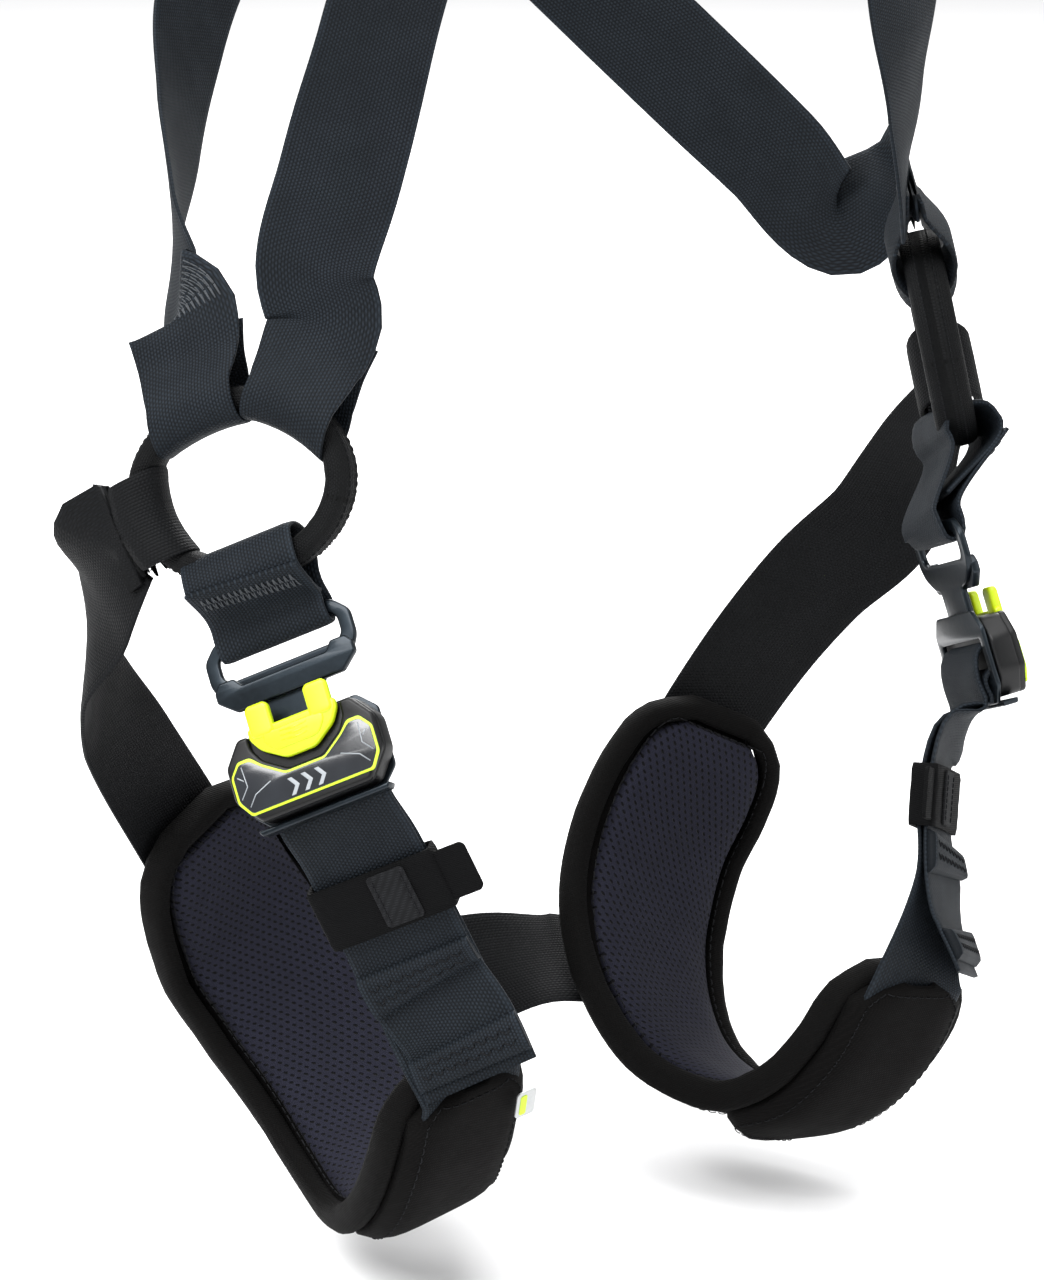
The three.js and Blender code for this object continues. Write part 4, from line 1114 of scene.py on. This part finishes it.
def through_adjuster(buckle):
    def at(y, n, face_y, face_n):
        return Station(buckle.place(0, y, n), buckle.turn(0, face_y, face_n), WIDTH)

    y, n = ADJUSTER_Y, ADJUSTER_N
    return [
        at(-18, -4.4, 0, 1), at(-7, -4.2, -0.1, 1), at(0.8, -2.8, -0.4, 0.9), at(5, 0.4, -1, 0.3),
        at(5.3, n, -1, 0), at(y + 3.2, n + 2.9, -0.7, -0.7), at(y, n + 4, 0, -1),
        at(y - 3, n + 2.9, 0.7, -0.7), at(-4.6, n - 1, 1, -0.1), at(-5.7, 0.8, 0.9, -0.4),
        at(-7.6, -1.3, 0.5, -0.9), at(-11, -1.7, 0.1, -1), at(-18, -1.7, 0, -1),
    ]


def tail_stations(name, side):
    lifted = [route(side, row) for row in FRONT_ROUTE[name]]
    for stop in lifted:
        stop.at = stop.at + stop.face * TAIL_LIFT
    return [*lifted, *[route(side, row) for row in TAIL_END[name]]]


def front_strap(name, side, buckle):
    main = [route(side, row) for row in FRONT_ROUTE[name]][::-1]
    tail = tail_stations(name, side)
    stations = [*on_pad(side, [8, 9, 10, 11]), *main, *through_adjuster(buckle),
                *[s.moved(vec(0, 0, 0), True) for s in tail]]
    strap(f"{name}_front_webbing", stations, "harness", WEBBING, replaces=[f"{name}_front_strap"],
          seed=side * 3.0, waver=0.25)
    strip = Strip(tail, 3.0)
    for part, (start, end) in (("upper", (-53, -39)), ("lower", (-18, -4))):
        fold(name, part, strip, strip.length + start, strip.length + end)


def fold(name, part, strip, start, end):
    """A stop sewn into the tail: the webbing is doubled over itself and stitched across."""
    rings, coords = [], []
    steps = 10
    for i in range(steps + 1):
        v = start + (end - start) * i / steps
        f = abs(2 * i / steps - 1)
        rise = 3.1 * math.sqrt(max(0.0, 1 - f ** 5)) + 0.5
        top = [strip.point(v, s, 1.1 + rise * (1 if abs(s) < 0.97 else 0.9)) for s in RAILS]
        low = [strip.point(v, s, 0.9) for s in RAILS]
        rings.append(top + low[::-1])
        line = [(s * 22.5, v * 1.2) for s in RAILS]
        coords.append(line + line[::-1])
    verts, faces, uvs = loft(rings, coords)
    obj = make_object(f"{name}_{part}_stop", verts, faces, WEBBING, uvs)
    finish_piece(obj, "harness", [f"{name}_tail_fold_{part}"])
    bundle = Bundle()
    surface = lambda v, s, h: strip.point(v, s, 4.6 + h)
    for r in (-2.2, 2.2):
        middle = (start + end) / 2 + r
        path = [(middle + (1.2 if k % 2 else -1.2), -0.86 + 1.72 * k / 16) for k in range(17)]
        stitches(bundle, surface, path, 3.0, 0.4, 0.36, 0.1)
    bundle.make(f"{name}_{part}_stop_stitches", "harness", BLACK_THREAD)


# ------------------------------------------------------------------ keepers

KEEPER_AT = {"left": 18.0, "right": 18.5}


def keeper(name, side):
    """The elastic band that holds the tail against the strap, its sewn patch and its tab."""
    strip = Strip([route(side, row) for row in FRONT_ROUTE[name]], 2.0)
    v = KEEPER_AT[name]
    above, middle, below = strip.row(v - 8), strip.row(v), strip.row(v + 8)
    up = (above[0] - below[0]).normalized()
    face = up.cross(middle[2]).cross(up).normalized()
    place = frame_at(middle[0] + face * (TAIL_LIFT / 2), up, face)
    body = f"{name}_elastic"
    half_w, half_d, wall = WIDTH / 2 + 1.6, (TAIL_LIFT + 2) / 2 + 1.6, 1.5
    rings = []
    for i in range(11):
        y = -12 + 24 * i / 10
        thin = wall - (0.35 if i in (0, 10) else 0)
        ring_out, ring_in = [], []
        for k in range(48):
            a = 2 * math.pi * k / 48
            c, s = math.cos(a), math.sin(a)
            bulge = 0.25 * noise.noise(Vector((k * 0.35, i * 0.5, side)))
            px = math.copysign(abs(c) ** 0.16, c)
            pz = math.copysign(abs(s) ** 0.30, s)
            ring_out.append(place.place(px * (half_w + thin), y, pz * (half_d + thin + bulge)))
            ring_in.append(place.place(px * half_w, y, pz * half_d))
        rings.append((ring_out, ring_in))
    verts, faces = [], []
    for out, inner in rings:
        verts += out + inner
    n = 48
    for i in range(len(rings) - 1):
        for k in range(n):
            m = (k + 1) % n
            a, b = i * 2 * n, (i + 1) * 2 * n
            faces.append((a + k, a + m, b + m, b + k))
            faces.append((a + n + m, a + n + k, b + n + k, b + n + m))
    for base, flip in ((0, False), ((len(rings) - 1) * 2 * n, True)):
        for k in range(n):
            m = (k + 1) % n
            quad = (base + k, base + n + k, base + n + m, base + m)
            faces.append(quad[::-1] if flip else quad)
    obj = make_object(f"{name}_elastic_band", verts, faces, ELASTIC)
    finish_piece(obj, body, [f"{name}_keeper"])
    z = half_d + wall - 0.1
    x = side * -6
    plate(f"{name}_keeper_patch", place, chamfered(15, -10.5, 10.5, 1, x), z, z + 1.2, body, PATCH,
          bevel=0.45)
    edge = side * -(half_w + wall + 5)
    plate(f"{name}_keeper_tab", place, chamfered(14, -10, 10, 1.5, edge), half_d - 1.8, half_d - 0.2,
          body, ELASTIC, bevel=0.45)
    seam = Bundle()
    for dx in (-5.6, 5.6):
        line = [place.place(x + dx, -9 + 18 * k / 8, z + 1.3) for k in range(9)]
        for a, b in zip(line, line[1:]):
            seam.add(*tube([a.lerp(b, 0.1), a.lerp(b, 0.5) + place.z * 0.15, a.lerp(b, 0.9)], 0.3, 5))
    seam.make(f"{name}_keeper_stitches", body, BLACK_THREAD)


# ------------------------------------------------------------------ leg buckles

def frame_outline():
    half, shoulder = 30.0, 28.5
    return mirrored([(13, 11), (13, shoulder), (19, shoulder + 1), (half - 3, shoulder + 6),
                     (half, WINDOW_BOTTOM), (half, FRAME_TOP - 6), (half - 6, FRAME_TOP)])


SLIDER_NOTCH = [(18.8, 16), (18.8, 10.6), (15.8, 5.6), (6.8, -0.5)]


def cover_outline(half, notch=()):
    """The cover from the front; its deck is open at the top for the slider."""
    return mirrored([(half - 8, -16), (half, -6), (half, 7), (half - 7, 16), *notch])


def label_outline(inset):
    i = inset
    return mirrored([(25 - i * .6, -13 + i), (29 - i, -7 + i * .5), (29 - i, 3 - i * .2),
                     (25 - i * .3, 8 - i * 1.3), (20 + i * .5, 8 - i * 1.3), (16 + i * .2, 4 - i),
                     (8, -1.5 - i)])


def bar_along(name, place, points, radius, body, material):
    bundle = Bundle()
    line = [place.place(*p) for p in points]
    bundle.add(*tube(line, radius, 6, 0.35, [place.z] * len(line)))
    bundle.make(name, body, material)


def leg_buckle(name):
    place = LEG_BUCKLE[name]
    clip, fixed, slider = f"{name}_clip", "harness", f"{name}_slider"
    window = chamfered(49, WINDOW_BOTTOM, WINDOW_TOP, 2.5)[::-1]
    plate(f"{name}_frame_plate", place, frame_outline(), 2.2, 4.8, clip, DARK_METAL, 0.8, 2.5,
          holes=[window], replaces=[f"{name}_buckle_frame"])
    # the raised cross bar below the window, with its two stepped shoulders
    rib = mirrored([(22, 27.5), (28.5, 33), (28.5, 37), (26, 40), (20, 40), (17.5, 36.6)])
    plate(f"{name}_frame_rib", place, rib, 4.0, 7.2, clip, DARK_METAL, 0.8, 0.9)
    base_window = chamfered(48, -8, 8, 1)[::-1]
    plate(f"{name}_back_plate", place, chamfered(58, -18, 19, 7), 0, 1.8, fixed, DARK_METAL, 0.5,
          1.5, holes=[base_window], replaces=[f"{name}_buckle_base"])
    plate(f"{name}_lower_strip", place, mirrored([(26, -19.6), (27, -17.4)]), 1.2, 7.6, fixed,
          DARK_METAL, 0.7, 0.8)
    plate(f"{name}_cover", place, cover_outline(30.8), 2.1, 11.2, fixed, PLASTIC, 1.4, 2.5, 5,
          replaces=[f"{name}_buckle_housing"])
    plate(f"{name}_cover_front", place, cover_outline(30.2, SLIDER_NOTCH), 9.6, 13.4, fixed, PLASTIC,
          1.3, 1.6, 5)
    plate(f"{name}_label_edge", place, label_outline(0), 12.9, 13.75, fixed, LIME_LINE, 0.2,
          replaces=[f"{name}_buckle_label"])
    plate(f"{name}_label_panel", place, label_outline(0.9), 13.2, 14.0, fixed, GLOSS, 0.2)
    marks(name, place, fixed)
    body = mirrored([(6, 3), (15, 9), (18, 14), (18, 17.2), (16, 18.5), (8, 17)])
    plate(f"{name}_release_body", place, body, 11.5, 14.5, slider, LIME, 1.1, 2.0, 5,
          replaces=[f"{name}_release_slider"])
    for k, x in enumerate((-12, 12)):
        plate(f"{name}_release_ear_{k}", place, chamfered(9.6, 13, 26, 1.5, x), 11.5, 15.2, slider,
              LIME, 1.3, 2.0, 5)
    dish = mirrored([(9, 6.5), (12.5, 11.5), (12, 14.5)])
    plate(f"{name}_release_pad", place, dish, 13.6, 15.0, slider, LIME, 0.65, 3.0, 4)
    for k, y in enumerate((9.2, 11.0, 12.8)):
        bar_along(f"{name}_release_grip_{k}", place, [(-5.5, y, 14.9), (0, y - 0.3, 15.05),
                                                      (5.5, y, 14.9)], 0.42, slider, LIME)


def marks(name, place, body):
    """Thin pale lines inside the label and a plain chevron, in place of any lettering."""
    z = 14.02
    for k, sign in enumerate((-1, 1)):
        lines = [[(27, -6), (23.6, -2), (24, 5.6)], [(26.6, 2.4), (24.4, 0.4)],
                 [(24.6, -9.6), (21.4, -5.8), (14.4, -3.0)]]
        for j, line in enumerate(lines):
            bar_along(f"{name}_label_line_{k}_{j}", place, [(sign * x, y, z) for x, y in line], 0.22,
                      body, PRINT)
    for k, x in enumerate((-5.5, 0.0, 5.5)):
        ring = [(x - 2.6, -11.2), (x - 0.8, -11.2), (x + 1.6, -7.9), (x - 0.8, -4.6),
                (x - 2.6, -4.6), (x - 0.2, -7.9)]
        plate(f"{name}_label_chevron_{k}", place, ring, 13.9, 14.12, body, PRINT, 0.05, 0.2)


# ------------------------------------------------------------------ back plate and ring

DORSAL = frame_at(vec(0, 119, 345), vec(0, 0, 1), vec(0, 1, 0))
PIN_Y, PIN_OUT = 16.0, 12.0


def dorsal():
    plate("back_plate", DORSAL, chamfered(84, -37, 37, 16), 0, 4, "harness", PLASTIC, 1.2, 5, 5,
          holes=[chamfered(30, -30, -24, 1)[::-1]], replaces=["dorsal_plate"])
    for k, s in enumerate((-1, 1)):
        x = s * (29 + 0.4 + 4.5)
        plate(f"back_lug_{k}", DORSAL, chamfered(8.6, 8, 24, 2.5, x), 3, 17, "harness", PLASTIC,
              1.2, 2, 5)
    line = [DORSAL.place(x, PIN_Y, PIN_OUT) for x in (-38, -37.6, 37.6, 38)]
    pin = Bundle()
    pin.add(*tube(line, 3.2, 24))
    for s in (-1, 1):
        cap = [DORSAL.place(s * x, PIN_Y, PIN_OUT) for x in (37.6, 38.2, 39.6, 40.0)]
        pin.add(*tube(cap, 4.6, 24))
    obj = pin.make("back_pin", "harness", STEEL)
    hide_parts("dorsal_pin")
    half, drop = 29.0, PIN_Y - 62 + 29.0

    def arc(radius, y, steps):
        return [(radius * math.cos(math.pi + math.pi * i / steps),
                 y + radius * math.sin(math.pi + math.pi * i / steps)) for i in range(steps + 1)]

    top = PIN_Y - 8
    eye = [*arc(20, top - 40 + 20, 20), (20, top), (-20, top)][::-1]
    plate("back_ring", DORSAL, [*arc(half, drop, 24), (half, PIN_Y), (-half, PIN_Y)], 8, 16,
          "back_ring", DARK_METAL, 2.6, 1.5, 6, holes=[eye], replaces=["dorsal_ring"])
    barrel = Bundle()
    barrel.add(*tube([DORSAL.place(x, PIN_Y, PIN_OUT) for x in (-28.6, -28, 28, 28.6)], 6.2, 28))
    barrel.make("back_ring_barrel", "back_ring", DARK_METAL)


# ------------------------------------------------------------------ chest strap

CHEST_Y, CHEST_Z = -103.0, 335.0
CHEST = frame_at(vec(0, CHEST_Y, CHEST_Z), vec(0, 0, 1), vec(0, -1, 0))


def chest_strap(name, side, end, body):
    rows = [route(side, row) for row in CHEST_ROUTE]
    here = rows[3].at.lerp(rows[4].at, 15 / 65)
    face = vec(rows[3].face.x, rows[3].face.y, 0).normalized()
    place = frame_at(here, vec(0, 0, 1), face)

    def at(a, n, face_a, face_n):
        return Station(place.place(side * a, 0, n), place.turn(side * face_a, 0, face_n), CHEST_WIDTH)

    reach, off = 27.5, 8.8
    stations = [
        Station(vec(side * end, CHEST_Y, CHEST_Z), vec(0, -1, 0), CHEST_WIDTH),
        Station(vec(side * (end + 14), CHEST_Y + 0.5, CHEST_Z), vec(0, -1, 0), CHEST_WIDTH),
        at(-34, off, 0, 1), at(-12, off, 0, 1), at(14, off, 0, 1), at(reach - 2, off - 1, 0.6, 1),
        at(reach, 0, 1, 0), at(reach - 2, 1 - off, 0.6, -1), at(14, -off, 0, -1),
        at(-10, -off, 0, -1), at(-28, -off, -0.3, -1), at(-35, off - 5.8, -0.9, -1),
        at(-41, off - 4, 0, -1), at(-45, off - 3.7, 0, -1),
    ]
    strip = strap(f"{name}_chest_webbing", stations, body, FINE_WEBBING,
                     replaces=[f"{name}_chest_strap"], seed=side * 9.0, waver=0.3)
    sew(f"{name}_chest_stitches", strip, place.place(side * -34, 0, off), 9, body, turns=20)


def chest_buckle():
    socket = chamfered(30, -15, 15, 4)
    well = chamfered(9, -6.5, 6.5, 1)[::-1]
    plate("chest_socket", CHEST, socket, -5.5, 5.5, "harness", PLASTIC, 1.4, 2, 5, holes=[well],
          replaces=["chest_buckle_socket"])
    grip = chamfered(14, -15, 15, 3, -22.6)
    plate("chest_tongue", CHEST, grip, -4.5, 4.5, "chest_clip", PLASTIC, 1.4, 2, 5,
          replaces=["chest_buckle_tongue"])
    plate("chest_prong", CHEST, chamfered(14, -10.6, 10.6, 3, -12.0), -1.9, 1.9, "chest_clip", PLASTIC,
          0.6, 1)
    plate("chest_button", CHEST, chamfered(8.2, -6.1, 6.1, 1), 2.5, 6.8, "chest_button", LIME, 0.8,
          1.2, 4, replaces=["chest_release_button"])


# ------------------------------------------------------------------ small trim

def side_tag():
    """A small sewn tag near the right pad's front end."""
    stations = pad_stations(-1)
    stop = stations[10]
    across = vec(1, 0, 0)
    place = frame_at(stop.at + stop.face * 21.2 + across * 20, (stations[9].at - stop.at), stop.face)
    plate("right_pad_tag", place, chamfered(9, -6, 6, 1), 0, 0.9, "harness", SILVER_TAG, 0.3)
    plate("right_pad_tag_mark", place, chamfered(3, -4.6, 4.6, 0.6, 1.5), 0.7, 1.2, "harness", LIME_LINE,
          0.15)


# ------------------------------------------------------------------ the harness

for label, hip_data in HIP.items():
    sign = SIDES[label]
    hip_ring(label, hip_data)
    pad(label, sign)
    rear_strap(label, hip_data)
    hip_link(label, hip_data, LEG_BUCKLE[label])
    leg_buckle(label)
    front_strap(label, sign, LEG_BUCKLE[label])
    keeper(label, sign)

for label, other, outwards, seed in (("left", "right", 2.1, 1.0), ("right", "left", -2.1, 4.0)):
    strip, start, end = shoulder_strap(label, other, outwards, seed)
    sew(f"{label}_front_loop_stitches", strip, start[0].at, 10, "harness", shift=5.0)
    sew(f"{label}_back_loop_stitches", strip, end[0].at, 10, "harness", shift=-5.0)
bridge()
dorsal()
chest_strap("left", 1, 13, "harness")
chest_strap("right", -1, 27, "chest_clip")
chest_buckle()
side_tag()

for label in SIDES:
    for node, material in ((f"{label}_hip_ring_core", STEEL), (f"{label}_adjuster_bar", STEEL)):
        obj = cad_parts[node]
        obj.data.materials.clear()
        obj.data.materials.append(material)
        obj.modifiers.new("Bevel", "BEVEL").width = 0.0003


# ------------------------------------------------------------------ floor, light and camera

VIEW = dict(azimuth=-35, elevation=15, distance=2.8)
LENS = 204.75
LAMP_CENTRE = Vector((0, 0, 0.1))


def aim(thing, azimuth, elevation, distance, centre=Vector((0, 0, 0))):
    """Puts a lamp or the camera round a centre, in degrees and metres, and points it back there."""
    a, e = math.radians(azimuth), math.radians(elevation)
    way = Vector((math.sin(a) * math.cos(e), -math.cos(a) * math.cos(e), math.sin(e)))
    thing.location = way * distance + centre
    thing.rotation_euler = (-way).to_track_quat("-Z", "Y").to_euler()
    bpy.context.scene.collection.objects.link(thing)


def studio():
    scene = bpy.context.scene
    floor_z = AT_LOAD[0][2] - 0.012
    mesh = bpy.data.meshes.new("floor")
    reach = 15.0
    corners = [(x * reach, y * reach, floor_z) for x, y in ((-1, -1), (1, -1), (1, 1), (-1, 1))]
    mesh.from_pydata(corners, [], [(0, 1, 2, 3)])
    pale = Shader("pale_floor", (0.9, 0.9, 0.9), 0.9, specular=0.1)
    tone = pale.noise(3.0, 2.0)
    pale.color(pale.ramp(tone, (0.84, 0.84, 0.845), (0.88, 0.88, 0.885)))
    mesh.materials.append(pale.mat)
    floor = bpy.data.objects.new("floor", mesh)
    scene.collection.objects.link(floor)

    def light(name, azimuth, elevation, distance, size, power):
        data = bpy.data.lights.new(name, "AREA")
        data.shape = "RECTANGLE"
        data.size, data.size_y = size
        data.energy = power
        lamp = bpy.data.objects.new(name, data)
        aim(lamp, azimuth, elevation, distance, LAMP_CENTRE)

    light("key", -80, 42, 2.2, (1.2, 1.2), 62)
    light("fill", 25, 22, 2.6, (1.8, 1.8), 24)
    light("top", -35, 82, 2.0, (1.8, 1.8), 46)
    light("rim", 140, 35, 2.2, (1.2, 1.6), 60)
    world = bpy.data.worlds.new("pale")
    world.use_nodes = True
    back = next(n for n in world.node_tree.nodes if n.type == "BACKGROUND")
    back.inputs[0].default_value = (1, 1, 1, 1)
    back.inputs[1].default_value = 0.6
    scene.world = world
    data = bpy.data.cameras.new("camera")
    data.sensor_width = 36
    data.lens = LENS
    data.clip_end = 50
    camera = bpy.data.objects.new("camera", data)
    aim(camera, **VIEW)
    scene.camera = camera
    scene.view_settings.view_transform = "Standard"


studio()
